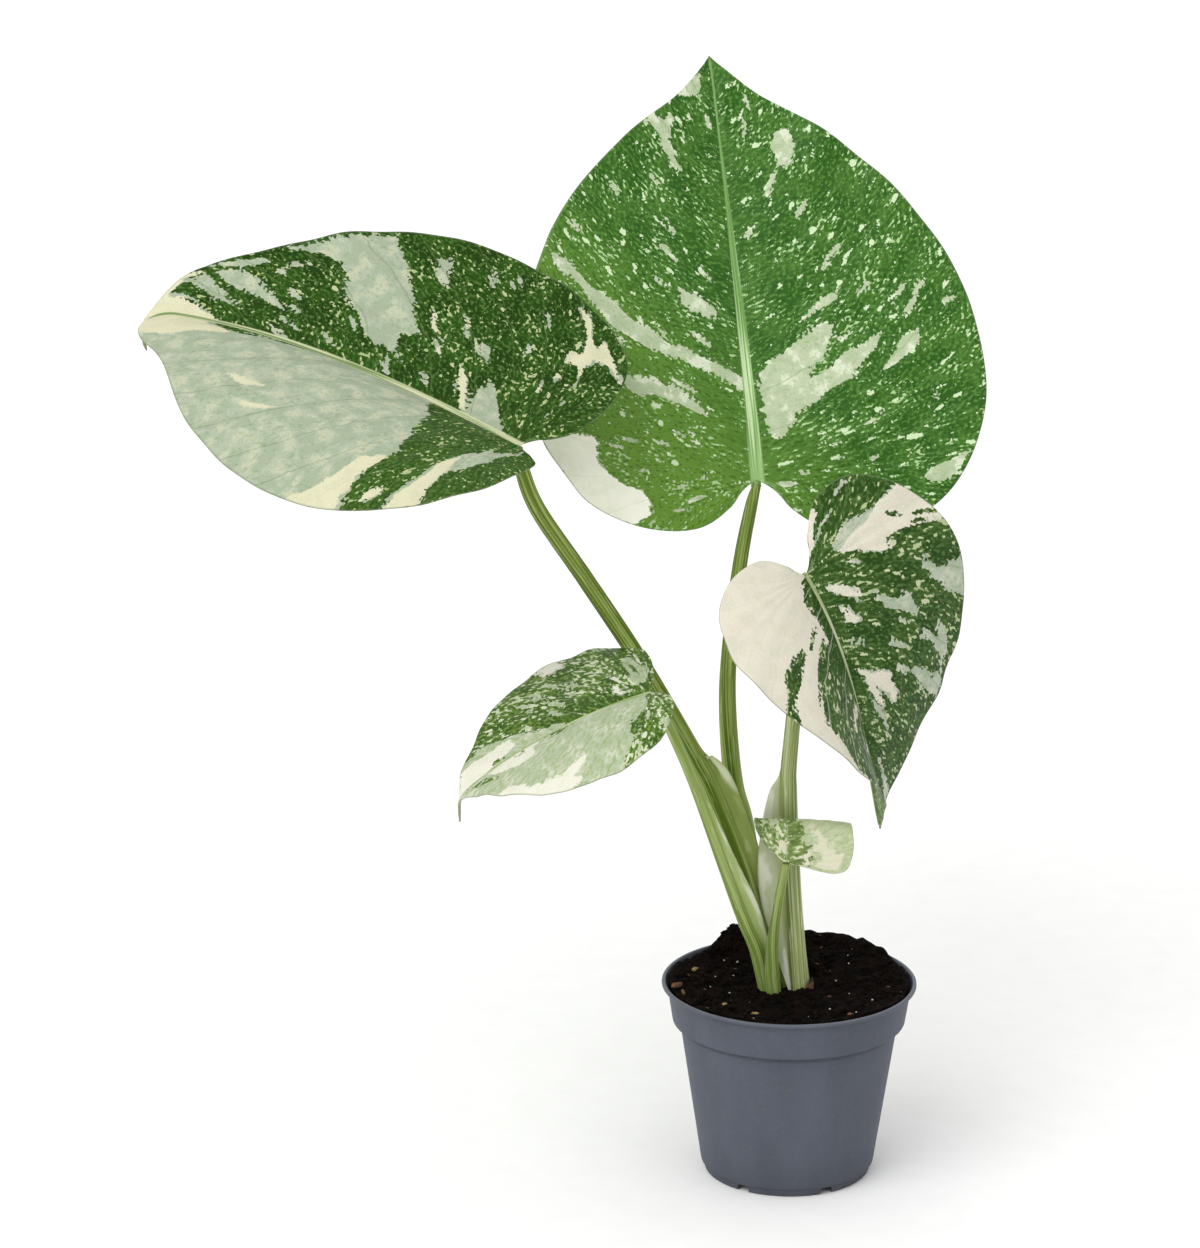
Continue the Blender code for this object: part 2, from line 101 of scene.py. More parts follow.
# Bits scattered in the peat: how many, nearest radius, lift, sizes, stretch and finish (0 perlite,
# 1 bark, 2 reed); then the larger ones, each at its own x and y with its size; mm
BIT_REACH = 54
SCATTERED_BITS = (
    (20, 15, 0.3, (0.3, 0.6), (1, 1, 0.8), 0),
    (26, 14, 0.2, (0.4, 0.8), (2.2, 0.7, 0.4), 1),
)
PLACED_BITS = (
    (-53, -8, 2.4, 0.8, (0.8, 1.8, 0.7), 1), (-50, -16, 1.3, 0.8, (0.8, 1.8, 0.7), 1),
    (27, -44, 1.2, 0.8, (0.8, 1.8, 0.7), 1), (-44, 22, 1.7, 0.6, (1.5, 1.0, 0.6), 2),
    (-31, -30, 1.3, 0.6, (1.5, 1.0, 0.6), 2), (-17, -37, 1.5, 0.6, (1.5, 1.0, 0.6), 2),
)

# Blades, mm
BLADE_THICKNESS = 0.55
BLADE_GRID = (190, 56)  # steps round half the margin and from midrib to margin
SMALL_BLADE_GRID = (130, 40)
FAN_SHARE = 0.42  # share of the margin whose veins all start at the petiole
HALF_WIDTH = 0.55  # of the blade's length
SIDE_VEINS = 14  # along one half's margin, petiole to tip
HALF_OFFSET = 1000.0  # keeps the left half's vein map apart from the right's
FIELD_LIMIT = 12.0  # mm; a sector field is held within this each way
LARGE_BLADE = 110  # mm; a longer blade gets the finer grid
RIB_RINGS = 90
RIB_SIDES = 14
RIB_GIRTH = 9.0

# Half of the heart-shaped outline from the petiole round a lobe to the tip, in blade lengths
HEART = (
    (0.0, 0.0), (0.04, -0.012), (0.075, -0.07), (0.17, -0.125), (0.32, -0.12), (0.46, -0.03),
    (0.545, 0.15), (0.53, 0.38), (0.42, 0.61), (0.25, 0.79), (0.11, 0.90), (0.03, 0.968), (0.0, 1.0),
)

# Each grown blade: petiole joint (mm), length (mm), compass heading, rise at base and tip, and how
# its halves fold up at the midrib and arch towards the margin (degrees; right half, left half).
BLADES = {
    "leaf_blade_left": dict(
        at=(-126.0, -20.0, 357.0), length=203, heading=153, rise=(20, -1.5), bow=-19, sweep=2.3,
        roll=-2.3, twist=20, fold=(21, 21.5), arch=(3, -57), width=(0.925, 1.075),
        lobe=(0.59, 0.95), tip=1.5, hook=35, drip=0.06, drop=60,
    ),
    "leaf_blade_back": dict(
        at=(-14.7, 75.5, 316.9), length=216, heading=99.3, rise=(61.3, 62.0), bow=16.3, sweep=3.2,
        roll=-5.4, twist=5, fold=(12.9, 12.6), arch=(-5.2, -6.4), width=(0.959, 0.962),
        lobe=(1.0, 0.94), tip=0.89, hook=8, drip=0.0, drop=0,
    ),
    "leaf_blade_right": dict(
        at=(4.5, -22.0, 297.0), length=124, heading=-19.8, rise=(-57, -81), bow=22.4, sweep=8.3,
        roll=-32.8, twist=46, fold=(20.4, 25.7), arch=(-29, -7.3), width=(1.02, 1.09),
        lobe=(1.15, 1.7), tip=0.96, hook=-4, drip=0.0, drop=0,
    ),
    "leaf_blade_small": dict(
        at=(-66.6, -62.0, 253.5), length=101, heading=182.8, rise=(-16, -41.4), bow=1, sweep=0.9,
        roll=2, twist=13.4, fold=(11.7, 11.4), arch=(-10.6, -39), width=(1.04, 1.01),
        lobe=(0.29, 0.72), tip=1.12, hook=30, drip=0.09, drop=18, shoulder=0.97,
    ),
}
DRIP_WIDTH = 0.012  # of the blade's length, half the width of a drip tip

# How each blade's sheet swells between its side veins, waves at its margin and rolls by chance, mm
SWELL = {
    "leaf_blade_left": dict(swell=0.8, wave=0.5, wave_length=46, drift=1.2),
    "leaf_blade_back": dict(swell=0.8, wave=1.0, wave_length=52, drift=1.6),
    "leaf_blade_right": dict(swell=0.35, wave=0.8, wave_length=34, drift=1.0),
    "leaf_blade_small": dict(swell=0.5, wave=0.7, wave_length=30, drift=0.8),
    "leaf_blade_young": dict(swell=0.25, wave=0.3, wave_length=20, drift=0.3),
}

# The youngest blade stands up from its petiole and is folded back over a level line, mm
YOUNG_AT = (-2.4, -15.2, 156.8)
YOUNG_LENGTH = 46.0
YOUNG_FOLD_HEIGHT = 16.8
YOUNG_FOLD_RADIUS = 3.4
YOUNG_FOLD_TURN = 172  # degrees that the blade is folded back by
YOUNG_LEAN = 0.03  # how much lower its right side hangs, per mm across
YOUNG_CUP = 0.004  # how far its margins come forwards, per mm across squared
YOUNG_RIGHT = (
    (0, 0), (6, -1.2), (14, -3), (22, -3.8), (28, -1), (30.6, 8), (30.2, 17), (28, 26), (20, 35), (8, 43),
    (0, 46),
)
YOUNG_LEFT = ((0, 0), (4.5, 5), (9, 11), (13, 17), (15, 24), (14, 31), (8, 41), (0, 46))

# Petioles from the crown up: x, y, z, radius and width of the sheath's wing beyond it, mm; "dry" gives
# the heights between which the wing turns from green to pale
STALK_RINGS = 150
STALK_SIDES = 60
WING_SIDES = 12  # steps on each face of the wing
STALK_BURIED = 4.0  # how far each stalk runs on below the soil
WING_TURN = 14  # degrees of the stalk's girth that the wing grows from, to each side
PETIOLES = {
    "petiole_left": dict(
        wing=(0.8, 0.1, 0.5), dry=(172, 194),
        stations=(
            (-4.0, 6.6, 88.3, 4.0, 0), (-10.3, 6.2, 104, 4.0, 0), (-21, 3.5, 144, 4.2, 5.5),
            (-36.4, 1, 186.5, 4.1, 6.8), (-43, 0, 200.5, 4.0, 3.2), (-46.3, 0, 207, 4.0, 0),
            (-71, -4, 251.6, 4.0, 0), (-95.4, -10, 291.5, 3.9, 0), (-117, -16, 326, 3.7, 0),
            (-124.2, -19.4, 345.9, 3.3, 0), (-125.9, -20.1, 356.2, 2.0, 0),
        ),
    ),
    "petiole_back": dict(
        wing=(1, 0, 0),
        stations=(
            (4.6, 8.6, 88.3, 3.9, 0), (-1.5, 13, 99.8, 4.0, 0), (-15.4, 20, 129.6, 4.8, 0),
            (-21.7, 27, 162, 5.2, 0), (-26.1, 33, 181, 4.5, 0), (-28.7, 43.5, 212.4, 4.1, 0),
            (-27.8, 53, 239.6, 3.7, 0), (-22.7, 66, 278.5, 3.4, 0), (-17.5, 73, 304.7, 2.9, 0),
            (-14.8, 75.2, 314.4, 2.0, 0),
        ),
    ),
    "petiole_right": dict(
        wing=(-1, -0.15, 0),
        stations=(
            (5.6, -2.0, 88.3, 4.6, 1), (3.6, -0.5, 108, 4.2, 6), (1.8, 1.5, 130, 4.0, 11),
            (0.5, 2, 150, 4.0, 12), (-0.6, 2.2, 172, 3.9, 9), (-1.2, 1, 188, 3.8, 5), (-1.4, 0, 198, 3.7, 0),
            (0.4, -3, 224.5, 3.4, 0), (2.8, -9, 262, 3.1, 0), (4.4, -17.2, 287.3, 2.6, 0),
            (4.5, -20.7, 295.0, 1.8, 0),
        ),
    ),
    "petiole_small": dict(
        wing=(1, -0.2, 0.3),
        stations=(
            (-10.8, 0.2, 88.3, 3.6, 0), (-15.3, -2.4, 109, 3.5, 2.5), (-20.5, -5.5, 123, 3.4, 5),
            (-25.1, -8.6, 136, 3.2, 5.5), (-32.4, -16, 158.5, 2.9, 3.5), (-46.5, -34, 203.3, 2.6, 0),
            (-59, -51, 237, 2.4, 0), (-66.1, -61.5, 252.2, 1.8, 0),
        ),
    ),
    "petiole_young": dict(
        wing=(1, 0, 0),
        stations=(
            (-7.5, -6.5, 88.3, 3.6, 0), (-8.3, -7, 99, 3.4, 0), (-8.5, -8, 113, 2.9, 0),
            (-7, -10, 127, 2.2, 0), (-5.1, -12.5, 142, 2.1, 0), (-2.5, -15.1, 156.4, 1.8, 0),
        ),
    ),
}

# Dry papery sheath round the right side of the crown, mm
DRY_SHEATH_CENTRE = (5.6, -2.0)
DRY_SHEATH_RADIUS = 5.6
DRY_SHEATH_FOOT = 86.0
DRY_SHEATH_TOP = 96.0
DRY_SHEATH_THICKNESS = 0.3
DRY_SHEATH_TURN = (-80, 25)  # degrees about the petiole, from +X

# Each blade's look: its colours in sRGB (two greens of the sheet, the lighter green of its cells, the
# flecks, the two unpigmented tones and the midrib), the lighter green painted over its left lobe as
# painted light and how far that shows, its flecks' size and smear in mm and how much they cover, the
# level its blotches start at, how mottled its mint is, the midrib's half width at the petiole in mm,
# where along the blade it ends and how green it turns on the way, and its wax's gloss.
LOOKS = {
    "leaf_blade_left": dict(
        colours=("#213c0d", "#2d4f14", "#4f7035", "#a5b27e", "#a8b29b", "#cfccac", "#d4d6b0"),
        painted_light=("#4a6a28", 0.5), fleck_size=2.0, fleck_reach=0.5, fleck_amount=-0.03, blotches=0.66,
        mottled=0.1, rib_width=3.6, rib_end=1.25, rib_fade=0.1, gloss=0.04,
    ),
    "leaf_blade_back": dict(
        colours=("#2b5814", "#3e6922", "#58853a", "#a8c68d", "#b6c2a1", "#fcfceb", "#a0c480"),
        painted_light=("#78a039", 0.9), fleck_size=1.55, fleck_reach=0.6, fleck_amount=-0.015, blotches=0.63,
        mottled=0.1, rib_width=3.7, rib_end=0.8, rib_fade=0.8, gloss=0.14,
    ),
    "leaf_blade_right": dict(
        colours=("#25440f", "#37551d", "#52713a", "#acb88a", "#b0b8a4", "#d5d0be", "#aab584"),
        painted_light=("#37551d", 0), fleck_size=1.9, fleck_reach=0.8, fleck_amount=0.0, blotches=0.635,
        mottled=0.2, rib_width=1.2, rib_end=0.95, rib_fade=0.4, gloss=0.12,
    ),
    "leaf_blade_small": dict(
        colours=("#385617", "#526f27", "#78964a", "#c0caa6", "#b2bba0", "#dcdacb", "#b8c498"),
        painted_light=("#526f27", 0), fleck_size=2.0, fleck_reach=0.7, fleck_amount=0.02, blotches=0.62,
        mottled=0.65, rib_width=1.5, rib_end=0.95, rib_fade=0.3, gloss=0.12,
    ),
    "leaf_blade_young": dict(
        colours=("#657b3d", "#7d9553", "#a0b279", "#d4dab4", "#c1c9a6", "#dbd9bf", "#b0bf8a"),
        painted_light=("#7d9553", 0), fleck_size=1.8, fleck_reach=0.6, fleck_amount=0.04, blotches=0.61,
        mottled=0.7, rib_width=0.25, rib_end=0.9, rib_fade=0, gloss=0.12,
    ),
}
# Stalk colours, sRGB: dark and light ground, pale cords and the sheath; then where the sheath turns pale,
# as a share of the wing's width
STALK_COLOURS = {
    "petiole_left": ("#4b6113", "#6a8029", "#a3b36c", "#cdd2ac", 0.35),
    "petiole_back": ("#435a15", "#69802d", "#9cab66", "#b4be90", 0.5),
    "petiole_right": ("#66763a", "#929f62", "#c0c69c", "#dcdecb", 0.1),
    "petiole_small": ("#6b8034", "#889d50", "#abbc7a", "#c6ccaa", 0.45),
    "petiole_young": ("#617632", "#7d9148", "#a2b170", "#b7bf98", 0.4),
}
POT_COLOURS = ("#4d515b", "#555a65", "#696d76")  # sRGB: the melt's two tones and the painted highlight along the top of the lip
POT_SHADE_TOP = 20.0  # mm; below it the pot's foot is painted a little darker, as painted shade near the floor

# Sectors of colour laid one over another on each half's ground, first right of the midrib and then
# left. A run is a finish and the outlines that it fills. Each point of an outline is its place round the
# margin (0 petiole, 100 tip) and out from the midrib (0) to the margin (100). Two or three points make
# a streak instead.
GROUNDS = {
    "leaf_blade_left": ("green", "mint"),
    "leaf_blade_back": ("green", "green"),
    "leaf_blade_right": ("cream", "green"),
    "leaf_blade_small": ("green", "mint"),
    "leaf_blade_young": ("mint", "green"),
}
STREAK_HALF_WIDTH = 1.3  # mm
# How far in mm each pattern of the sheet pulls the sector edges: the pale field's and the cream field's
SECTOR_PULLS = (
    ("pale", "fray", 14.0), ("pale", "nick", 2.0), ("cream", "melt", 16.0), ("cream", "nick", 4.0),
)
PALE_EDGE = 8.0
CREAM_EDGE = 10.0
FLECK_LEVEL = 0.765  # where the pattern of flecks breaks through at a usual amount
SECTORS = {
    "leaf_blade_left": (
        # Right half: the pale tip, the broad pale sector and the smaller ones towards the petiole
        (
            ("cream", ((92.7, -5), (101, -5), (101, 105), (90, 105), (87, 98), (88, 95), (92, 96))),
            ("mint", ((86, 99), (80, 95), (79, 91), (83, 90)),
             ((84.3, 44), (86, 60), (86.8, 78), (86.5, 92), (84, 90), (83.4, 78), (83.6, 58)),
             ((88.4, 40), (90, 62), (89.7, 82), (89, 97), (87.4, 94), (88.2, 78), (88.8, 60)),
             ((85.5, 2), (86.7, 8), (86.4, 20), (85.4, 12)), ((84.3, 22), (84.7, 34)),
             ((71, 18), (71.3, 30), (70.2, 39), (67.4, 42), (67, 55), (65.5, 70), (64, 82), (62.3, 98),
              (76.5, 98), (73.2, 92), (71.7, 85), (73, 74), (75, 66), (74.8, 46), (75.4, 34), (74, 24),
              (73.2, 30), (72.2, 24)), ((67.8, 9), (68.2, 16)), ((73.1, 7), (73.6, 12), (73, 18)),
             ((50.5, 1), (53.5, 9), (55, 18), (56.5, 28), (58.2, 21), (60.3, 12), (60.8, 1))),
            ("cream", ((60.3, 3), (62.3, 5), (62.8, 17), (61.7, 29), (60.8, 22), (61, 10))),
            ("mint", ((57, 36), (58.7, 42), (58, 49), (55.8, 45))),
            ("cream", ((60.1, 48), (58.9, 58)), ((65.4, 32), (64.6, 42)), ((64.8, 48), (64, 57))),
            ("mint", ((60.4, 70), (60.9, 79), (59, 87), (56.8, 88), (59, 79)), ((50.2, 46), (47.7, 53))),
            ("cream", ((45, 31), (43.5, 38))),
            ("mint", ((43.6, 70), (43.6, 76)), ((49, 84), (47, 90)), ((52.5, 80), (51.7, 87))),
            ("cream", ((39.5, 43), (37, 47))),
            ("mint", ((82.9, 40), (82.7, 48)), ((81.2, 58), (80.8, 66)), ((80, 82), (78, 87), (76, 86)),
             ((80.3, 15), (80.8, 25)), ((76.3, 36), (75.9, 44))),
            ("cream", ((38, 55), (37.4, 63), (34, 69), (34.6, 80), (37.2, 92), (36.2, 98), (34.8, 92),
              (33.3, 82), (31.7, 80), (31, 90), (29, 88), (24.8, 89), (22.4, 98), (20.8, 98), (24, 86),
              (28, 80), (30.4, 73), (30.8, 66), (32.2, 60), (36, 57)), ((33.4, 45), (29.8, 52)),
             ((30.8, 62), (31.6, 56))),
            ("mint", ((31.5, 24), (29.6, 28)), ((29.4, 36), (28, 40))),
        ),
        # Left half: mint, with the green sector that runs down from the midrib and its pale bands
        (
            ("green", ((-1, -5), (67, -5), (62.5, 15), (58, 23), (52, 39), (48, 50), (44.7, 56), (44.2, 68),
              (42, 80), (40, 91), (38.2, 101), (34, 101), (34.6, 86), (34, 72), (34.5, 60), (32, 52),
              (30, 47), (25, 44), (21, 51), (16, 57), (-1, 60))),
            ("cream", ((37.2, 80), (38.7, 88), (37, 95), (36.4, 88))),
            ("green", ((-1, 55), (14, 64), (19.5, 60), (21.5, 60), (23, 67), (30, 69), (30.5, 80),
              (30, 101), (-1, 101))),
            ("cream", ((31, 52), (34, 60), (33.6, 74), (34.2, 88), (33.7, 101), (30, 101), (30.6, 84),
              (30.6, 66)),
             ((44.6, 62), (47, 67), (46, 80), (45.2, 88), (45.4, 101), (38.6, 101), (41, 89), (42.8, 79),
              (43.6, 70)), ((69, 66), (72, 72), (74, 78), (71, 76)), ((64, 72), (66, 79)),
             ((87.3, 36), (87.2, 68), (86, 88), (88, 101), (101, 101), (101, -5), (93.5, -5), (93, 12),
              (91, 38))),
            ("green", ((79, -5), (93, -5), (92.2, 14), (91, 28), (89.4, 36), (87, 30), (86, 16), (82, 9))),
            ("mint", ((85, 2), (86.8, 12), (87.8, 22))),
        ),
    ),
    "leaf_blade_back": (
        (
            ("mint", ((55, 7), (58, 5), (66.4, 5), (67.4, 15), (68, 28), (67.5, 38), (66.4, 43), (65, 39),
              (63.4, 35), (62.8, 25), (61.7, 27), (61.4, 35), (62, 45), (61, 50), (60.5, 60), (59.4, 59),
              (58.8, 50), (58, 42), (58.5, 33), (57.4, 18), (54, 10)),
             ((55.6, 55), (56.5, 60), (57.6, 68), (56.5, 75), (54.7, 72), (55, 62)), ((59.7, 74), (61, 85)),
             ((62.4, 71), (62.6, 77)), ((66.9, 59), (66.7, 65)), ((64.1, 42), (63.4, 48)),
             ((70, 30), (70.2, 44), (69.3, 52), (68.4, 48), (69.4, 38)), ((73.1, 51), (73.1, 62)),
             ((85.2, 60), (87.5, 65), (88.2, 77), (87, 87), (85, 80), (84.4, 70)), ((84.8, 39), (85.4, 54)),
             ((36.2, 46), (38.4, 47)), ((30, 78), (32.4, 81), (34, 97), (30.2, 96), (29, 86)),
             ((14, 24), (17, 14), (23, 12), (25.6, 17), (23, 22), (18, 24)), ((34, 19), (41, 16)),
             ((45.7, 74), (46.6, 74)), ((82.4, 12), (82.8, 18)), ((91.4, 44), (92, 58)),
             ((92.6, 76), (93.4, 86)), ((43, 29), (41, 32)), ((48.5, 27), (47.4, 31)),
             ((49, 44), (48.8, 50)), ((56.2, 90), (55.8, 95)), ((80.2, 52), (80, 60))),
        ),
        # Left half: a cream margin, long pale streaks and the mottled tip
        (
            ("cream", ((19.8, 101), (20, 90), (20.5, 82), (22, 73), (24, 67.5), (27, 65), (28.8, 68.5),
              (31, 71.5), (35, 73), (37.3, 69), (40, 68), (38.6, 85), (37, 101))),
            ("mint", ((17, 46), (19, 44), (19.4, 52), (18, 60), (17, 55)), ((16.6, 70), (18, 73)),
             ((30, 26), (34, 23)), ((50, 22), (51.4, 25)), ((51, 25), (50.5, 32)),
             ((57, 20), (58.8, 21), (59, 33), (58, 44), (56.2, 51), (56.2, 57), (54, 54), (53.4, 47),
              (55.6, 42), (56.4, 31)),
             ((64.1, -2), (66.4, -2), (66.8, 15), (66, 31), (64.6, 45), (64.2, 60), (65, 64), (63.7, 76),
              (64, 86), (62.8, 98), (61.6, 94), (62.4, 80), (61, 64), (62.4, 45), (64, 30), (64.8, 12)),
             ((72.6, 14), (74.3, 17), (74, 28), (73, 37), (71.7, 35), (72, 22)),
             ((76.1, 42), (76.4, 50), (75.6, 53)), ((72.6, 41), (72.3, 50)), ((68.5, 19), (68.6, 26)),
             ((77.1, 18), (77.4, 26)),
             ((86.5, 53), (87, 65), (88, 76), (90, 84), (90, 91), (88.4, 88), (87.8, 101), (86, 101),
              (86.8, 86), (86, 76), (85.6, 64)),
             ((95, 62), (96.2, 73), (97, 90), (96.4, 101), (92.4, 101), (93, 92), (94.4, 80)),
             ((93.4, 20), (93.7, 36)), ((82.5, 68), (82.2, 73)), ((68.4, 91), (68, 95)),
             # The short streak from (65.6, 42) to (65.2, 53) is a painted sheen: a bluish highlight laid in
             # as mint
             ((65.6, 42), (65.2, 53)), ((46.4, 36), (45.6, 40)), ((60.3, 26), (60, 35)),
             ((40, 57), (39.4, 62)), ((76.6, 84), (76.4, 89)), ((79.4, 46), (79.2, 55)),
             ((52, 60), (50, 68)), ((47, 66), (45.5, 74)), ((44, 48), (42.6, 54)), ((34, 50), (32, 56)),
             ((26, 40), (24.6, 48)), ((36, 36), (34.6, 41)), ((56.6, 66), (55.4, 76)),
             ((60.2, 58), (59.6, 70)), ((22, 28), (21, 34))),
        ),
    ),
    "leaf_blade_right": (
        (
            ("green", ((41, -5), (44, 7), (49, 12), (54, 15), (60, 14), (65, 14), (65.5, 17), (63.4, 22),
              (62.4, 48), (63.5, 65), (64.5, 83), (69, 88), (72, 96), (77, 101), (101, 101), (101, -5)),
             ((53, 14), (57, 14)), ((59.6, 20), (60.2, 30), (59.6, 40)),
             ((59, 46), (58.4, 52), (57.8, 64), (58, 73), (56.6, 84), (57, 101), (54.4, 101), (54.6, 90),
              (53.6, 75), (54.8, 62), (55.6, 52), (57, 47))),
            ("cream", ((80.5, 12), (79.4, 30), (77, 60), (75.8, 58), (77, 38), (79.4, 15))),
            ("mint", ((87, 5), (85, 35), (82, 60))),
        ),
        (
            ("mint", ((24.8, 30), (30, 28), (34, 27), (34, 50), (31, 70), (29, 72), (27.4, 65), (24.4, 57),
              (23.6, 48), (24, 38))),
            ("cream", ((32, 27), (38, 26), (41, 32), (44.5, 38), (46, 45), (45.2, 51), (43, 52), (41, 54),
              (40.6, 64), (40.6, 101), (30.6, 101), (29.8, 86), (29.4, 76), (30.6, 62), (30, 46))),
            ("green", ((33.6, 72), (36, 74), (36, 77)), ((38, 84), (39, 96)), ((39.5, 80), (39.8, 86))),
            ("cream", ((14, 50), (12, 60), (11.6, 72), (13, 80), (14.6, 85), (12.4, 101), (3, 101), (5, 75),
              (8, 56), (12, 50))),
            ("mint", ((16, 68), (18.4, 73)), ((19.6, 90), (21, 95)), ((14.6, 56), (15, 62))),
            ("cream", ((53.6, 6), (56, 8), (59.4, 21), (57.6, 25), (54.6, 17), (52.8, 10)),
             ((60, 8), (64, 10), (65.4, 18), (63.2, 20), (61, 14)), ((46, 24), (47.4, 28))),
            ("mint", ((57, 30), (59, 32), (61.4, 40), (61, 50), (61.4, 60), (59, 60), (57, 52), (59, 44)),
             ((48, 92), (47, 101), (54, 101), (54.6, 86), (53, 75), (52, 68), (48.6, 68), (47.8, 72),
              (50.6, 74), (50, 83)),
             ((62.6, 67), (65.5, 64), (64.6, 74), (65.4, 84), (68, 95), (64, 94), (60.6, 84), (60.4, 78),
              (64, 80), (63.6, 73)),
             ((71.4, 60), (73, 70), (73, 88), (72, 97), (68, 97), (69, 88), (70, 74)),
             ((68.2, 41), (68.2, 54)), ((63.4, 47), (63.6, 52)), ((69.2, 12), (69.4, 18)),
             ((72.4, 50), (72, 60))),
            ("cream", ((75, 8), (76.6, 15), (79.6, 20), (81, 36), (79.6, 37), (77.6, 26), (79, 47),
              (77.4, 55), (76, 46), (74, 40), (74.6, 25))),
            ("mint", ((79.5, 16), (82, 27), (85.2, 48), (84.4, 52), (81.4, 36)),
             ((89.6, 26), (92, 46), (94, 76), (95, 101), (93.4, 101), (92, 80), (90.4, 50))),
        ),
    ),
    "leaf_blade_small": (
        (
            ("mint", ((15, 62), (20, 32), (30, 19), (40, 13), (47, 16), (47, 27), (42, 40), (37, 60),
              (33, 70), (31, 56), (28, 48), (23, 54), (18, 68))),
            ("green", ((34, 30), (41, 32), (39, 44), (35, 48))),
            ("cream", ((27.6, 53), (29, 57), (30.4, 70), (29.6, 84), (28.4, 76)),
             ((51.6, 10), (53.2, 13), (52.6, 26), (51, 45), (50, 46), (50.2, 34), (51.4, 25)),
             ((54.8, 8), (58, 8), (58.4, 14), (55.6, 27), (54, 29), (55, 18))),
            ("mint", ((63, 42), (62, 60), (60.6, 74))),
            ("cream", ((45, 101), (48, 93), (51, 85), (57, 86), (55, 95), (53, 101))),
            ("mint", ((40, 92), (38.6, 101)),
             ((75, -5), (76.6, 10), (79.4, 22), (80, 45), (82, 60), (81.4, 76), (82.4, 88), (85, 101),
              (101, 101), (101, -5))),
            ("cream", ((83, 34), (82.6, 58), (84, 66), (86, 78), (88, 101), (101, 101), (101, 20), (93, 12),
              (88, 22))),
            ("green", ((88.4, 14), (91, 22), (90, 38), (88.6, 34))),
            ("mint", ((69, 40), (68, 58)), ((71, 62), (69.4, 76)), ((66, 68), (64.4, 80)),
             ((73, 26), (72.4, 40)), ((60, 52), (58.6, 62))),
        ),
        (
            ("green", ((-1, -5), (50, -5), (43, 14), (37, 22), (35, 31), (40, 40), (45, 50), (44.6, 56),
              (42, 64), (40, 70), (41, 86), (41.4, 94), (39, 101), (-1, 101))),
            ("mint", ((32, 42), (34.6, 48), (35, 57), (32, 61), (31, 50))),
            ("cream", ((26.4, 58), (27.4, 66), (26, 76), (24.8, 73), (25.4, 66))),
            ("mint", ((26, 80), (25, 95)), ((38, 64), (38.6, 70)), ((37, 82), (36, 95)),
             ((17, 50), (18.4, 62))),
            ("cream", ((57.4, 72), (60.4, 75), (61, 86), (70, 90), (78, 92), (80, 101), (52, 101), (54, 93),
              (56.4, 88))),
            ("green", ((71.6, -5), (81, -5), (79, 11), (77, 23), (75, 20), (74, 8))),
            ("cream", ((81, 14), (85, 8), (90, 14), (91, 40), (88, 58), (84, 64), (81, 64), (79, 50),
              (80, 30))),
            ("green", ((85, 18), (83.6, 32)), ((84, 74), (86, 67), (91, 61), (93.4, 74), (91, 84))),
        ),
    ),
    "leaf_blade_young": (
        (
            ("green", ((-1, -5), (101, -5), (101, 16), (70, 24), (40, 34), (20, 40), (-1, 40))),
            ("cream", ((14, 30), (30, 24), (50, 20), (52, 30), (34, 36), (18, 42)),
             ((26, 46), (45, 41), (66, 43), (66, 52), (57, 55), (48, 62), (43, 72), (42, 84), (29, 87),
              (26, 70))),
            ("mint", ((44, 84), (50, 70), (57, 60), (63, 58), (58, 74), (50, 84))),
            ("green", ((67.6, 4), (73, -5), (84, -5), (82, 20), (80, 42), (77, 40), (77, 22), (74, 19),
              (70, 30), (67, 28), (69, 12)), ((57, 8), (63, 8), (64, 15), (60, 18))),
            ("cream", ((75, 56), (78, 68), (82, 101), (73, 101), (73.4, 75))),
            ("green", ((85, 12), (89, 15), (89, 38), (87, 42), (84.6, 30))),
        ),
        (
            ("cream", ((55, 9), (58, 1), (67, -2), (66, 10), (62, 21), (56, 25), (52, 22))),
            ("green", ((68, 4), (75, 8), (70, 28), (62, 48), (57, 62), (48, 75), (40, 88), (34, 101),
              (27, 101), (36, 82), (45, 66), (52, 50), (55, 38), (62, 28)),
             ((78, 4), (84, 4), (84, 34), (80, 55), (74, 75), (68, 87), (64, 80), (70, 70), (75, 55),
              (77, 34))),
            ("cream", ((87, -2), (93, -2), (92, 30), (90, 55), (86, 73), (84, 72), (84.6, 50), (86, 20))),
            ("green", ((88, 82), (91, 90))),
            ("mint", ((72, 36), (66, 56), (58, 74))),
        ),
    ),
}


# ---------------------------------------------------------------- colours and nodes


def linear(colour):
    """An sRGB hex colour as linear red, green, blue and alpha."""
    shares = [int(colour[place:place + 2], 16) / 255 for place in (1, 3, 5)]
    return (*[((share + 0.055) / 1.055) ** 2.4 if share > 0.04045 else share / 12.92 for share in shares], 1)


def toward(colour, other, share):
    """The sRGB hex colour that lies so far from one colour to another."""
    mixed = "#"
    for place in (1, 3, 5):
        start, end = int(colour[place:place + 2], 16), int(other[place:place + 2], 16)
        mixed += f"{round(start + (end - start) * share):02x}"
    return mixed


def add(tree, kind, sockets=None, **settings):
    """Adds a node with its settings, sets or links its sockets, and gives back its first live output."""
    made = tree.nodes.new(kind)
    for name, value in settings.items():
        setattr(made, name, value)
    for key, value in (sockets or {}).items():
        live = [socket for socket in made.inputs if socket.enabled and socket.name == key]
        socket = live[0] if live else made.inputs[key]
        if isinstance(value, bpy.types.NodeSocket):
            tree.links.new(value, socket)
        else:
            socket.default_value = value
    return next((socket for socket in made.outputs if socket.enabled), None)


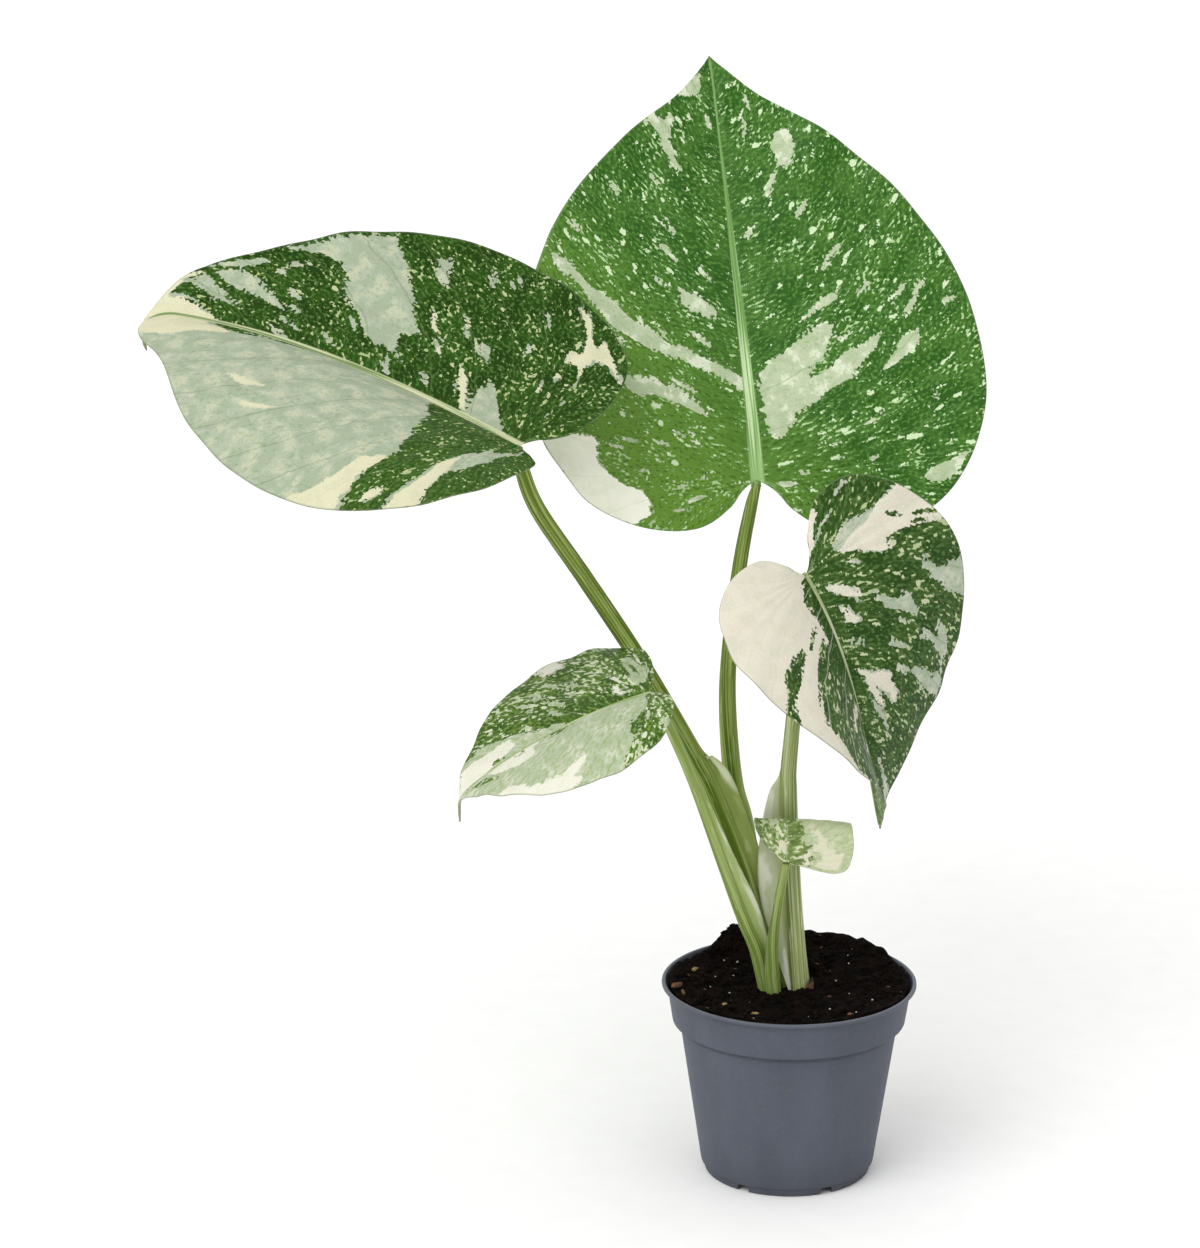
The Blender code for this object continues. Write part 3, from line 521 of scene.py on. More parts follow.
def finish(name, roughness, **sockets):
    """A new material with its node tree and its shader, whose plain sockets are set here."""
    paint = bpy.data.materials.new(name)
    paint.use_nodes = True
    shader = paint.node_tree.nodes["Principled BSDF"]
    shader.inputs["Roughness"].default_value = roughness
    for key, value in sockets.items():
        shader.inputs[key.replace("_", " ")].default_value = value
    return paint, paint.node_tree, shader


# ---------------------------------------------------------------- finishes


def lay_coats(tree, ground, coats):
    """Lays coats of colour over a ground. Each coat is its colour, the pattern that shows it, the
    pattern's values where it begins and where it is full, and how strongly it covers there."""
    ground = linear(ground) if isinstance(ground, str) else ground
    for colour, pattern, begins, full, cover in coats:
        colour = linear(colour) if isinstance(colour, str) else colour
        share = add(tree, "ShaderNodeMapRange", {
            "Value": pattern, "From Min": begins, "From Max": full, "To Max": cover,
        })
        ground = add(tree, "ShaderNodeMix", {"Factor": share, "A": ground, "B": colour}, data_type="RGBA")
    return ground


def emboss(tree, shader, height, strength, depth):
    """Gives the shader a fine relief from a height pattern, so strong and so many mm deep."""
    bump = add(tree, "ShaderNodeBump", {"Strength": strength, "Distance": depth * MM, "Height": height})
    tree.links.new(bump, shader.inputs["Normal"])


def drawn_noise(tree, place, course, size, reach, detail):
    """A noise whose grain is the given size in mm, smeared along the veins for so many mm each way."""
    steps = (-1, 0, 1) if reach else (0,)
    total = 0.0
    for step in steps:
        moved = add(tree, "ShaderNodeVectorMath", {
            0: course, 1: (step * reach,) * 3, 2: place,
        }, operation="MULTIPLY_ADD")
        grain = add(tree, "ShaderNodeTexNoise", {
            "Vector": moved, "Scale": 1 / size, "Detail": detail, "Roughness": 0.55,
        }, noise_dimensions="2D")
        total = add(tree, "ShaderNodeMath", {0: grain, 1: total}, operation="ADD")
    return add(tree, "ShaderNodeMath", {0: total, 1: 1 / len(steps)}, operation="MULTIPLY")


# Patterns of the sheet: grain size and smear along the veins in mm, and detail. The flecks of a real
# blade are mostly 0.3 to 1 mm across; they are drawn about half as large again to show.
SHEET_PATTERNS = {
    "fray": (2.8, 2.6, 1.0),
    "nick": (1.1, 1.4, 1.0),
    "melt": (9.0, 15.0, 3.0),
    "blotch": (4.6, 1.6, 2.0),
    "mottle": (1.6, 0.5, 1.0),
    "fibre": (0.9, 4.0, 1.0),
    "crowding": (15.0, 0, 1.0),
    "cloud": (14.0, 0, 2.0),
}


def leaf_finish(name, look, length, margin_length, under=False):
    """Living leaf: a thin waxy sheet, its green broken into sectors, streaks and flecks that lack
    pigment. The wax gives broad soft highlights; cells and veins break them up a little."""
    deep, bright, light_green, fleck, mint, cream, rib = look["colours"]
    if under:
        deep, bright, light_green = (toward(tone, "#9db486", 0.42) for tone in (deep, bright, light_green))
        fleck, mint, cream = (toward(tone, "#c9d2b4", 0.3) for tone in (fleck, mint, cream))
    paint, tree, shader = finish(name, 0.5 if under else 0.42, Specular_IOR_Level=look["gloss"])
    veins = add(tree, "ShaderNodeUVMap", uv_map="vein_map")
    flat = add(tree, "ShaderNodeUVMap", uv_map="flat_map")
    course = add(tree, "ShaderNodeUVMap", uv_map="vein_course")
    stored = add(tree, "ShaderNodeAttribute", attribute_name="sectors")
    pale_field = add(tree, "ShaderNodeSeparateColor", {"Color": stored})
    fields = {"pale": pale_field, "cream": pale_field.node.outputs["Green"]}
    patterns = dict(SHEET_PATTERNS, freckle=(look["fleck_size"], look["fleck_reach"], 1.5))
    pattern = {key: drawn_noise(tree, flat, course, *values) for key, values in patterns.items()}

    # Sector edges: each field in mm, pulled in and out along the veins. A noise swings about 0.5, so an
    # edge lies where the field with its pulls passes half the sum of their reaches.
    for key, puller, reach in SECTOR_PULLS:
        fields[key] = add(tree, "ShaderNodeMath", {
            0: pattern[puller], 1: reach, 2: fields[key],
        }, operation="MULTIPLY_ADD")
    pale_coat = (fields["pale"], PALE_EDGE - 0.25, PALE_EDGE + 0.25, 1)
    cream_coat = (fields["cream"], CREAM_EDGE - 0.6, CREAM_EDGE + 0.6, 1)

    # Green: clouded, with lighter cells, flecks that crowd in places and a few larger blotches
    crowded = add(tree, "ShaderNodeMath", {
        0: pattern["crowding"], 1: 0.3, 2: pattern["freckle"],
    }, operation="MULTIPLY_ADD")
    rare = FLECK_LEVEL - look["fleck_amount"]
    aslant = add(tree, "ShaderNodeVectorMath", {0: flat, 1: (-0.7, -0.7, 0)}, operation="DOT_PRODUCT")
    aslant = aslant.node.outputs["Value"]
    green = lay_coats(tree, deep, [
        (bright, pattern["cloud"], 0.38, 0.62, 1),
        # Painted light: a lighter green laid over the left lobe and the base, fading towards the right and
        # the tip
        (look["painted_light"][0], aslant, -0.22 * length, 0.14 * length, 0.75 * look["painted_light"][1]),
        (light_green, pattern["mottle"], 0.53, 0.6, 0.7),
        (toward(deep, "#10240c", 0.3), pattern["mottle"], 0.45, 0.37, 0.5),
        (toward(fleck, bright, 0.4), crowded, rare - 0.03, rare, 0.8),
        (fleck, crowded, rare, rare + 0.02, 1),
        (toward(fleck, cream, 0.35), pattern["blotch"], look["blotches"], look["blotches"] + 0.012, 1),
    ])
    # Unpigmented: mint in three clouded tones with fine fibres, or plain cream
    mint_sheet = lay_coats(tree, mint, [
        (toward(mint, deep, 0.08), pattern["melt"], 0.49, 0.46, 0.9),
        (toward(mint, cream, 0.5), pattern["melt"], 0.53, 0.57, 0.8),
        (toward(mint, light_green, 0.45), pattern["freckle"], 0.49, 0.57, look["mottled"]),
        (toward(mint, light_green, 0.5), crowded, rare - 0.03, rare + 0.03, 0.35),
        (toward(mint, deep, 0.35), pattern["fibre"], 0.53, 0.6, 0.25),
    ])
    cream_sheet = lay_coats(tree, cream, [
        (toward(cream, light_green, 0.1), pattern["melt"], 0.48, 0.56, 0.5),
        (toward(cream, "#ffffff", 0.3), pattern["fibre"], 0.53, 0.62, 0.5),
    ])
    pale = lay_coats(tree, mint_sheet, [(cream_sheet, *cream_coat)])
    sheet = lay_coats(tree, green, [(pale, *pale_coat)])

    # Side veins: a little darker in the pale sectors and lighter in the green
    around = add(tree, "ShaderNodeSeparateXYZ", {"Vector": veins})
    outward = around.node.outputs["Y"]
    wander = add(tree, "ShaderNodeMath", {0: pattern["cloud"], 1: 5.0, 2: around}, operation="MULTIPLY_ADD")
    half_gap = margin_length / SIDE_VEINS / 2
    off_vein = add(tree, "ShaderNodeMath", {0: wander, 1: half_gap}, operation="PINGPONG")
    vein_colour = lay_coats(tree, toward(bright, rib, 0.25), [
        (toward(mint, deep, 0.4), *pale_coat), (toward(cream, mint, 0.35), *cream_coat),
    ])

    # Midrib: widest at the petiole, with pale cords along it that fade out before the tip
    across = add(tree, "ShaderNodeSeparateXYZ", {"Vector": flat})
    along = across.node.outputs["Y"]
    off_rib = add(tree, "ShaderNodeMath", {0: across}, operation="ABSOLUTE")
    rib_width = add(tree, "ShaderNodeMapRange", {
        "Value": along, "From Min": 0, "From Max": look["rib_end"] * length,
        "To Min": look["rib_width"], "To Max": 0.18 * look["rib_width"],
    })
    rib_place = add(tree, "ShaderNodeMath", {0: off_rib, 1: rib_width}, operation="DIVIDE")
    corded = add(tree, "ShaderNodeMapping", {"Vector": flat, "Scale": (1 / 1.2, 1 / 70.0, 1)})
    cords = add(tree, "ShaderNodeTexNoise", {
        "Vector": corded, "Scale": 1, "Detail": 1,
    }, noise_dimensions="2D")
    rib_sheet = lay_coats(tree, toward(rib, light_green, 0.25), [
        (toward(rib, cream, 0.45), cords, 0.48, 0.58, 0.9),
        (toward(rib, light_green, 0.85), cords, 0.46, 0.37, 0.8),
        (toward(rib, light_green, 0.85), along, 0.25 * length, 0.6 * length, look["rib_fade"]),
        (toward(rib, bright, 0.12), along, 0.08 * length, 0.01 * length, 0.9),
    ])
    sheet = lay_coats(tree, sheet, [
        (vein_colour, off_vein, 0.7, 0.15, 0.45),
        (rib_sheet, rib_place, 1.1, 0.8, 0.95),
        # A drip tip dries grey
        ("#8b8a72", along, 0.99 * length, 1.02 * length, 0.75),
        # The very margin is a dull horny line
        (toward(deep, "#b9b8a8", 0.6), outward, HALF_WIDTH * length * 0.992, HALF_WIDTH * length, 0.6),
    ])
    tree.links.new(sheet, shader.inputs["Base Color"])

    # Wax: duller where it is thin, and the cells just lift it
    sheen = add(tree, "ShaderNodeMapRange", {
        "Value": pattern["cloud"], "From Min": 0.3, "From Max": 0.7, "To Min": 0.36, "To Max": 0.5,
    })
    tree.links.new(sheen, shader.inputs["Roughness"])
    ridge = add(tree, "ShaderNodeMapRange", {"Value": off_vein, "From Min": 0.9, "From Max": 0.1})
    height = pattern["mottle"]
    for relief, amount in ((ridge, 0.8 if under else -0.35), (pattern["fibre"], 1.2)):
        height = add(tree, "ShaderNodeMath", {0: relief, 1: amount, 2: height}, operation="MULTIPLY_ADD")
    emboss(tree, shader, height, 0.35, 0.3)
    return paint


# Patterns of a stalk: grain size across and along it in mm, and detail
STALK_PATTERNS = {
    "band": (3.2, 160.0, 1.0),
    "thread": (0.75, 110.0, 1.0),
    "streak": (1.1, 22.0, 2.0),
    "cloud": (9.0, 45.0, 2.0),
}


def stalk_finish(name, dark, light, pale, sheath, sheath_from=0.1):
    """Living leaf stalk: round, juicy and smooth, its cords showing as long light and dark stripes.
    Its wing is a thin sheath, pale from the given share of its width out. Soft long highlights."""
    paint, tree, shader = finish(name, 0.42, Specular_IOR_Level=0.12)
    along = add(tree, "ShaderNodeUVMap", uv_map="stalk_map")
    pattern = {}
    for key, (across, length, detail) in STALK_PATTERNS.items():
        placed = add(tree, "ShaderNodeMapping", {"Vector": along, "Scale": (1 / across, 1 / length, 1)})
        pattern[key] = add(tree, "ShaderNodeTexNoise", {
            "Vector": placed, "Scale": 1, "Detail": detail,
        }, noise_dimensions="2D")
    stored = add(tree, "ShaderNodeAttribute", attribute_name="wing")
    wing = add(tree, "ShaderNodeSeparateColor", {"Color": stored})
    sheath_sheet = lay_coats(tree, sheath, [
        (toward(sheath, light, 0.5), pattern["thread"], 0.5, 0.6, 0.7),
        (toward(sheath, light, 0.65), pattern["streak"], 0.46, 0.38, 0.7),
        (toward(sheath, "#ffffff", 0.35), pattern["streak"], 0.56, 0.68, 0.7),
    ])
    colour = lay_coats(tree, light, [
        (dark, pattern["band"], 0.47, 0.4, 0.9),
        (toward(light, pale, 0.75), pattern["band"], 0.54, 0.62, 0.9),
        (toward(dark, light, 0.3), pattern["thread"], 0.46, 0.36, 0.7),
        (pale, pattern["thread"], 0.56, 0.66, 0.7),
        (toward(light, dark, 0.5), pattern["cloud"], 0.55, 0.75, 0.4),
        (toward(pale, "#eef0d6", 0.4), pattern["streak"], 0.66, 0.74, 0.5),
        (sheath_sheet, wing, sheath_from, sheath_from + 0.2, 1),
    ])
    tree.links.new(colour, shader.inputs["Base Color"])
    height = add(tree, "ShaderNodeMath", {0: pattern["thread"], 1: pattern["band"]}, operation="ADD")
    emboss(tree, shader, height, 0.4, 0.3)
    return paint


def pot_finish():
    """Moulded polypropylene, grey blue: a fine matt skin from the mould, a little cloudy where the
    melt flowed, rubbed smoother on the lip, with fine brownish specks. The top of the lip is painted
    paler as a painted highlight, and the foot is painted darker towards the floor as painted shade."""
    paint, tree, shader = finish("moulded polypropylene", 0.5, IOR=1.49, Specular_IOR_Level=0.12)
    place = add(tree, "ShaderNodeTexCoord").node.outputs["Object"]
    # The melt ran upwards: its clouds are 18 mm across and 55 mm tall
    flow = add(tree, "ShaderNodeMapping", {
        "Vector": place, "Scale": (1 / (18 * MM), 1 / (18 * MM), 1 / (55 * MM)),
    })
    clouds = add(tree, "ShaderNodeTexNoise", {"Vector": flow, "Scale": 1, "Detail": 3})
    height = add(tree, "ShaderNodeSeparateXYZ", {"Vector": place}).node.outputs["Z"]
    specks = add(tree, "ShaderNodeTexNoise", {"Vector": place, "Scale": 1 / (2.5 * MM), "Detail": 4})
    colour = lay_coats(tree, POT_COLOURS[0], [
        (POT_COLOURS[1], clouds, 0.3, 0.7, 1), ("#6f665d", specks, 0.52, 0.72, 0.2),
        # Painted shade: the foot is painted darker towards the floor
        ("#35363b", height, POT_SHADE_TOP * MM, 0.0, 0.3),
        # Painted highlight: the top of the lip is painted paler
        (POT_COLOURS[2], height, (POT_HEIGHT - 0.9) * MM, (POT_HEIGHT - 0.1) * MM, 0.6),
    ])
    tree.links.new(colour, shader.inputs["Base Color"])
    rubbed = add(tree, "ShaderNodeMapRange", {
        "Value": height, "From Min": (POT_HEIGHT - 4) * MM, "From Max": (POT_HEIGHT - 1) * MM,
        "To Min": 0.5, "To Max": 0.3,
    })
    worn = add(tree, "ShaderNodeMath", {0: clouds, 1: 0.08, 2: rubbed}, operation="MULTIPLY_ADD")
    tree.links.new(worn, shader.inputs["Roughness"])
    # The eroded mould leaves a 0.1 mm grain; it is drawn 0.5 mm so that it shows
    grain = add(tree, "ShaderNodeTexNoise", {"Vector": place, "Scale": 1 / (0.5 * MM), "Detail": 2})
    emboss(tree, shader, grain, 0.12, 0.1)
    return paint


def peat_finish(name, dark, brown, pale):
    """Damp peat compost: black-brown fibres and crumbs, dull, with paler dry bits."""
    paint, tree, shader = finish(name, 0.95, Specular_IOR_Level=0.06)
    place = add(tree, "ShaderNodeTexCoord").node.outputs["Object"]
    coarse = add(tree, "ShaderNodeTexNoise", {"Vector": place, "Scale": 1 / (9 * MM), "Detail": 4})
    fine = add(tree, "ShaderNodeTexNoise", {
        "Vector": place, "Scale": 1 / (1.3 * MM), "Detail": 4, "Roughness": 0.7,
    })
    grit = add(tree, "ShaderNodeTexVoronoi", {"Vector": place, "Scale": 1 / (2.2 * MM)})
    colour = lay_coats(tree, dark, [
        (brown, coarse, 0.42, 0.68, 1), (toward(brown, pale, 0.3), fine, 0.56, 0.72, 1),
        (pale, fine, 0.74, 0.8, 0.8),
    ])
    tree.links.new(colour, shader.inputs["Base Color"])
    height = add(tree, "ShaderNodeMath", {0: fine, 1: 1.4, 2: grit}, operation="MULTIPLY_ADD")
    emboss(tree, shader, height, 0.9, 1.2)
    return paint


def grit_finish(name, dark, light, size, roughness):
    """A loose bit in the compost: its own tone broken up by a grain of the given size in mm."""
    paint, tree, shader = finish(name, roughness)
    place = add(tree, "ShaderNodeTexCoord").node.outputs["Object"]
    grain = add(tree, "ShaderNodeTexNoise", {"Vector": place, "Scale": 1 / (size * MM), "Detail": 3})
    tree.links.new(lay_coats(tree, dark, [(light, grain, 0.35, 0.65, 1)]), shader.inputs["Base Color"])
    emboss(tree, shader, grain, 0.6, 0.3)
    return paint


def dry_sheath_finish():
    """Dried leaf base: thin brown paper with lengthwise fibres, darkest at its torn top."""
    paint, tree, shader = finish("dry papery sheath", 0.78)
    along = add(tree, "ShaderNodeUVMap", uv_map="stalk_map")
    placed = add(tree, "ShaderNodeMapping", {"Vector": along, "Scale": (1 / 0.45, 1 / 7.0, 1)})
    fibres = add(tree, "ShaderNodeTexNoise", {
        "Vector": placed, "Scale": 1, "Detail": 3,
    }, noise_dimensions="2D")
    height = add(tree, "ShaderNodeSeparateXYZ", {"Vector": along}).node.outputs["Y"]
    colour = lay_coats(tree, "#4c2f1f", [
        ("#93683f", fibres, 0.36, 0.66, 1), ("#20140e", height, 7.2, 8.8, 1),
    ])
    tree.links.new(colour, shader.inputs["Base Color"])
    emboss(tree, shader, fibres, 0.7, 0.3)
    return paint


def floor_finish():
    """Matt white paper sweep, its tone wandering very slightly over every 17 mm or so."""
    paint, tree, shader = finish("white studio paper", 0.9, Specular_IOR_Level=0.2)
    place = add(tree, "ShaderNodeTexCoord").node.outputs["Object"]
    tooth = add(tree, "ShaderNodeTexNoise", {"Vector": place, "Scale": 1 / (16.7 * MM), "Detail": 2})
    tree.links.new(lay_coats(tree, "#f8f8f7", [("#fbfbfa", tooth, 0.3, 0.7, 1)]), shader.inputs["Base Color"])
    return paint


# ---------------------------------------------------------------- making pieces


def set_out(name, data):
    """A new object with the given mesh, light or camera, linked into the scene."""
    thing = bpy.data.objects.new(name, data)
    bpy.context.scene.collection.objects.link(thing)
    return thing


def shaped(name, builder, paints=()):
    """A new object with the mesh that a bmesh has built; the bmesh is freed."""
    mesh = bpy.data.meshes.new(name)
    builder.to_mesh(mesh)
    builder.free()
    for paint in paints:
        mesh.materials.append(paint)
    return set_out(name, mesh)


def add_piece(name, builder, paints, stands_for=()):
    """A finished piece of the plant, riding on the frame."""
    piece = shaped(name, builder, paints)
    piece.data.shade_smooth()
    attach(piece, "root")
    if stands_for:
        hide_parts(*stands_for)
    return piece


def settle(piece):
    """Applies the piece's modifiers to its mesh."""
    bpy.context.view_layer.update()
    graph = bpy.context.evaluated_depsgraph_get()
    mesh = bpy.data.meshes.new_from_object(
        piece.evaluated_get(graph), preserve_all_data_layers=True, depsgraph=graph,
    )
    piece.modifiers.clear()
    piece.data = mesh


def thicken(piece, thickness, inner_finish=0):
    """Gives a sheet its thickness in mm, half to each side, the inner side with its own finish."""
    thick = piece.modifiers.new("thickness", "SOLIDIFY")
    thick.thickness = thickness * MM
    thick.offset = 0
    thick.material_offset = inner_finish
    settle(piece)


def faces_round(verts):
    """Every face that touches one of the vertices."""
    return {face for vert in verts for face in vert.link_faces}


def through(points, count):
    """Points evenly spaced in parameter along a Catmull-Rom curve through the given ones."""
    known = np.array(points, float)
    known = np.vstack([2 * known[0] - known[1], known, 2 * known[-1] - known[-2]])
    spans = len(known) - 3
    found = []
    for place in np.linspace(0, spans, count):
        span = min(int(place), spans - 1)
        t = place - span
        a, b, c, d = known[span:span + 4]
        found.append(
            0.5 * (2 * b + (c - a) * t + (2 * a - 5 * b + 4 * c - d) * t**2 + (3 * b - a - 3 * c + d) * t**3)
        )
    return np.array(found)


def ramp(value, start, end):
    """0 at the start and 1 at the end, eased at both."""
    share = np.clip((value - start) / (end - start), 0, 1)
    return share * share * (3 - 2 * share)


# ---------------------------------------------------------------- leaf blades


def blade_frame(blade, along):
    """Points of the midrib and its unit tangent, side and upper normal, at lengths in mm."""
    length = blade["length"]
    steps = np.linspace(-0.25 * length, (1 + blade["drip"]) * length, 160)

    def angles(at):
        share = at / length
        rise = blade["rise"][0] + (blade["rise"][1] - blade["rise"][0]) * share
        rise = rise + blade["bow"] * np.where(share > 0, share**2 - share, 0)
        rise = rise - blade["hook"] * np.clip((share - 0.9) / 0.1, 0, 1)
        if blade["drip"]:
            rise = rise - blade["drop"] * np.clip((share - 0.985) / 0.03, 0, 1)
        heading = blade["heading"] + blade["sweep"] * np.minimum(share, 1)
        roll = blade["roll"] + blade["twist"] * np.minimum(share, 1)
        return np.radians(rise), np.radians(heading), np.radians(roll)

    def tangents(rise, heading):
        return np.stack([np.cos(rise) * np.cos(heading), np.cos(rise) * np.sin(heading), np.sin(rise)], 1)

    rise, heading, roll = angles(steps)
    tangent = tangents(rise, heading)
    paths = np.vstack([np.zeros(3), np.cumsum((tangent[1:] + tangent[:-1]) / 2 * np.diff(steps)[:, None], 0)])
    start = np.array([np.interp(0, steps, paths[:, axis]) for axis in range(3)])
    paths = paths - start + np.array(blade["at"])
    points = np.stack([np.interp(along, steps, paths[:, axis]) for axis in range(3)], 1)
    rise, heading, roll = angles(along)
    tangent = tangents(rise, heading)
    level = np.stack([np.sin(heading), -np.cos(heading), 0 * heading], 1)
    upper = np.cross(level, tangent)
    cosine, sine = np.cos(roll)[:, None], np.sin(roll)[:, None]
    return points, tangent, level * cosine + upper * sine, upper * cosine - level * sine


def blade_surface(blade, flat, lift):
    """Bends flat blade coordinates (across, along; mm) into place, lifted off the sheet by so much."""
    side = np.where(flat[:, 0] >= 0, 1, -1)
    away = np.abs(flat[:, 0])
    points, _, across, upper = blade_frame(blade, flat[:, 1])
    fold = np.radians(np.where(side > 0, blade["fold"][0], blade["fold"][1]))
    arch = np.radians(np.where(side > 0, blade["arch"][0], blade["arch"][1]))
    half_turn = 0.5 * arch * away / (HALF_WIDTH * blade["length"])
    shorten = np.sinc(half_turn / math.pi)
    out = away * shorten * np.cos(fold + half_turn) - lift * np.sin(fold + 2 * half_turn)
    up = away * shorten * np.sin(fold + half_turn) + lift * np.cos(fold + 2 * half_turn)
    return points + (side * out)[:, None] * across + up[:, None] * upper


def young_surface(flat, lift):
    """Bends the youngest blade back over a level fold, with its margins cupped a little forwards."""
    x, height = flat[:, 0], flat[:, 1]
    past = height - YOUNG_FOLD_HEIGHT
    whole, splay = math.radians(YOUNG_FOLD_TURN), math.radians(180 - YOUNG_FOLD_TURN)
    turn = np.clip(past / YOUNG_FOLD_RADIUS, 0, whole)
    beyond = np.maximum(0, past - YOUNG_FOLD_RADIUS * whole)
    back = YOUNG_FOLD_RADIUS * (1 - np.cos(turn)) + beyond * math.sin(splay)
    up = np.minimum(height, YOUNG_FOLD_HEIGHT) + YOUNG_FOLD_RADIUS * np.sin(turn)
    up = up - beyond * math.cos(splay) - YOUNG_LEAN * x
    placed = np.stack([x, back - YOUNG_CUP * x**2 - lift * np.cos(turn), up + lift * np.sin(turn)], 1)
    return placed + np.array(YOUNG_AT)


def margin(outline, count):
    """The outline resampled evenly by length, and its length."""
    fine = through(outline, 600)
    lengths = np.concatenate([[0], np.cumsum(np.linalg.norm(np.diff(fine, axis=0), axis=1))])
    even = np.linspace(0, lengths[-1], count)
    return np.stack([np.interp(even, lengths, fine[:, axis]) for axis in range(2)], 1), lengths[-1]


def half_outline(blade, half):
    """Control points of one half in mm: half 0 is right of the midrib, half 1 left."""
    points = np.array(HEART)
    points[-3:-1, 0] *= blade["tip"]
    points[:, 0] *= blade["width"][half]
    points[points[:, 1] < 0, 1] *= blade["lobe"][half]
    if half == 0 and "shoulder" in blade:
        points[4:6, 0] *= blade["shoulder"]
        points[5:7, 1] += 0.5 * (1 - blade["shoulder"])
    points[:, 0] *= 1 if half == 0 else -1
    if blade["drip"]:
        width = DRIP_WIDTH * (1 if half == 0 else -1)
        end = [(width, 0.995), (width * 0.8, 1 + blade["drip"] * 0.7), (0, 1 + blade["drip"])]
        points = np.vstack([points[:-1], end])
    return points * blade["length"]


def half_grid(edge, length, columns):
    """Flat points of one half in rows along the curved side veins, from midrib to margin."""
    rows = []
    for row, (x, y) in enumerate(edge):
        share = max(0, (row / (len(edge) - 1) - FAN_SHARE) / (1 - FAN_SHARE))
        root = np.array((0, length * share**1.7))
        bend = np.array((0.6 * x, root[1] + 0.27 * (y - root[1])))
        t = np.linspace(0, 1, columns + 1)[:, None]
        rows.append((1 - t) ** 2 * root + 2 * t * (1 - t) * bend + t**2 * np.array((x, y)))
    return np.array(rows)


def sheet_lift(form, around, outward, flat, length, margin_length, half):
    """How far the sheet stands off its smooth bend, mm: swollen between side veins, dipped along the
    midrib, waved at the margin and rolling a little by chance."""
    between = np.sin(math.pi * around * SIDE_VEINS) ** 2 - 0.5
    swell = form["swell"] * between * ramp(outward, 0.05, 0.45) * (1 - 0.5 * ramp(outward, 0.7, 1))
    dip = -0.7 * np.exp(-((flat[:, 0] / (0.012 * length)) ** 2))
    dip = dip * (1 - 0.7 * np.clip(flat[:, 1] / length, 0, 1))
    beat = 2 * math.pi * around * margin_length / form["wave_length"]
    wave = form["wave"] * np.sin(beat + 1.3 * np.sin(0.37 * beat + half)) * ramp(outward, 0.72, 1)
    wave = wave * ramp(around, 0.03, 0.12) * (1 - ramp(around, 0.88, 0.97))
    roll = np.array([noise.noise((x / 45 + 3 * half, y / 45, length)) for x, y in flat])
    return swell + dip + wave + form["drift"] * roll * ramp(outward, 0.1, 0.6)


def depth_inside(outline, place, scale):
    """How far each place lies inside an outline, or inside a streak drawn through two or three
    points, in mm; negative outside."""
    points = np.array(outline, float) / 100 * scale
    closed = len(points) > 3
    nearest, inside = np.full(len(place), np.inf), np.zeros(len(place), bool)
    for start, end in zip(points, np.roll(points, -1, axis=0) if closed else points[1:]):
        side, reach = end - start, place - start
        share = np.clip(reach @ side / (side @ side), 0, 1)
        nearest = np.minimum(nearest, np.linalg.norm(reach - share[:, None] * side, axis=1))
        level = (start[1] > place[:, 1]) != (end[1] > place[:, 1])
        inside ^= level & (reach[:, 0] < reach[:, 1] * side[0] / (side[1] or 1))
    return np.where(inside, nearest, -nearest) if closed else STREAK_HALF_WIDTH - nearest


def sector_fields(name, half, around, outward, margin_length, width):
    """Whether each place is pale and whether the pale is cream: positive mm inside, negative outside."""
    ground = GROUNDS[name][half]
    pale = np.full(around.shape, -FIELD_LIMIT if ground == "green" else FIELD_LIMIT)
    cream = np.full(around.shape, FIELD_LIMIT if ground == "cream" else -FIELD_LIMIT)
    scale = np.array((margin_length, width))
    place = np.stack([around, outward], 1) * scale
    for kind, *outlines in SECTORS[name][half]:
        for outline in outlines:
            inside = np.clip(depth_inside(outline, place, scale), -FIELD_LIMIT, FIELD_LIMIT)
            if kind == "green":
                pale = np.minimum(pale, -inside)
                continue
            pale = np.maximum(pale, inside)
            cream = np.maximum(cream, inside) if kind == "cream" else np.minimum(cream, -inside)
    return pale, cream


def add_half(builder, name, half, outline, length, rows, columns, surface):
    """One half of a blade as a grid laid along its side veins. Gives back its margin's length."""
    edge, margin_length = margin(outline, rows + 1)
    grid = half_grid(edge, length, columns)
    made = bmesh.ops.create_grid(builder, x_segments=rows, y_segments=columns, size=1)["verts"]
    row = np.array([round((vert.co.x + 1) / 2 * rows) for vert in made])
    column = np.array([round((vert.co.y + 1) / 2 * columns) for vert in made])
    around, outward, flat = row / rows, column / columns, grid[row, column]
    lift = sheet_lift(SWELL[name], around, outward, flat, length, margin_length, half)
    for vert, place in zip(made, surface(flat, lift)):
        vert.co = Vector(place) * MM
    # The way the veins run at each place; flecks are drawn out longer beside the midrib
    course = np.gradient(grid, axis=1)[row, column]
    drawn_out = 1 + 0.7 * (1 - ramp(outward, 0, 0.35))
    course *= (drawn_out / np.maximum(np.linalg.norm(course, axis=1), 1e-6))[:, None]
    veins = np.stack([around * margin_length + HALF_OFFSET * half, outward * HALF_WIDTH * length], 1)
    faces = list(faces_round(made))
    for layer, values in (("vein_map", veins), ("flat_map", flat), ("vein_course", course)):
        layer = builder.loops.layers.uv[layer]
        shared = dict(zip(made, values))
        for face in faces:
            for loop in face.loops:
                loop[layer].uv = shared[loop.vert]
    if half == 0:
        bmesh.ops.reverse_faces(builder, faces=faces)
    return margin_length


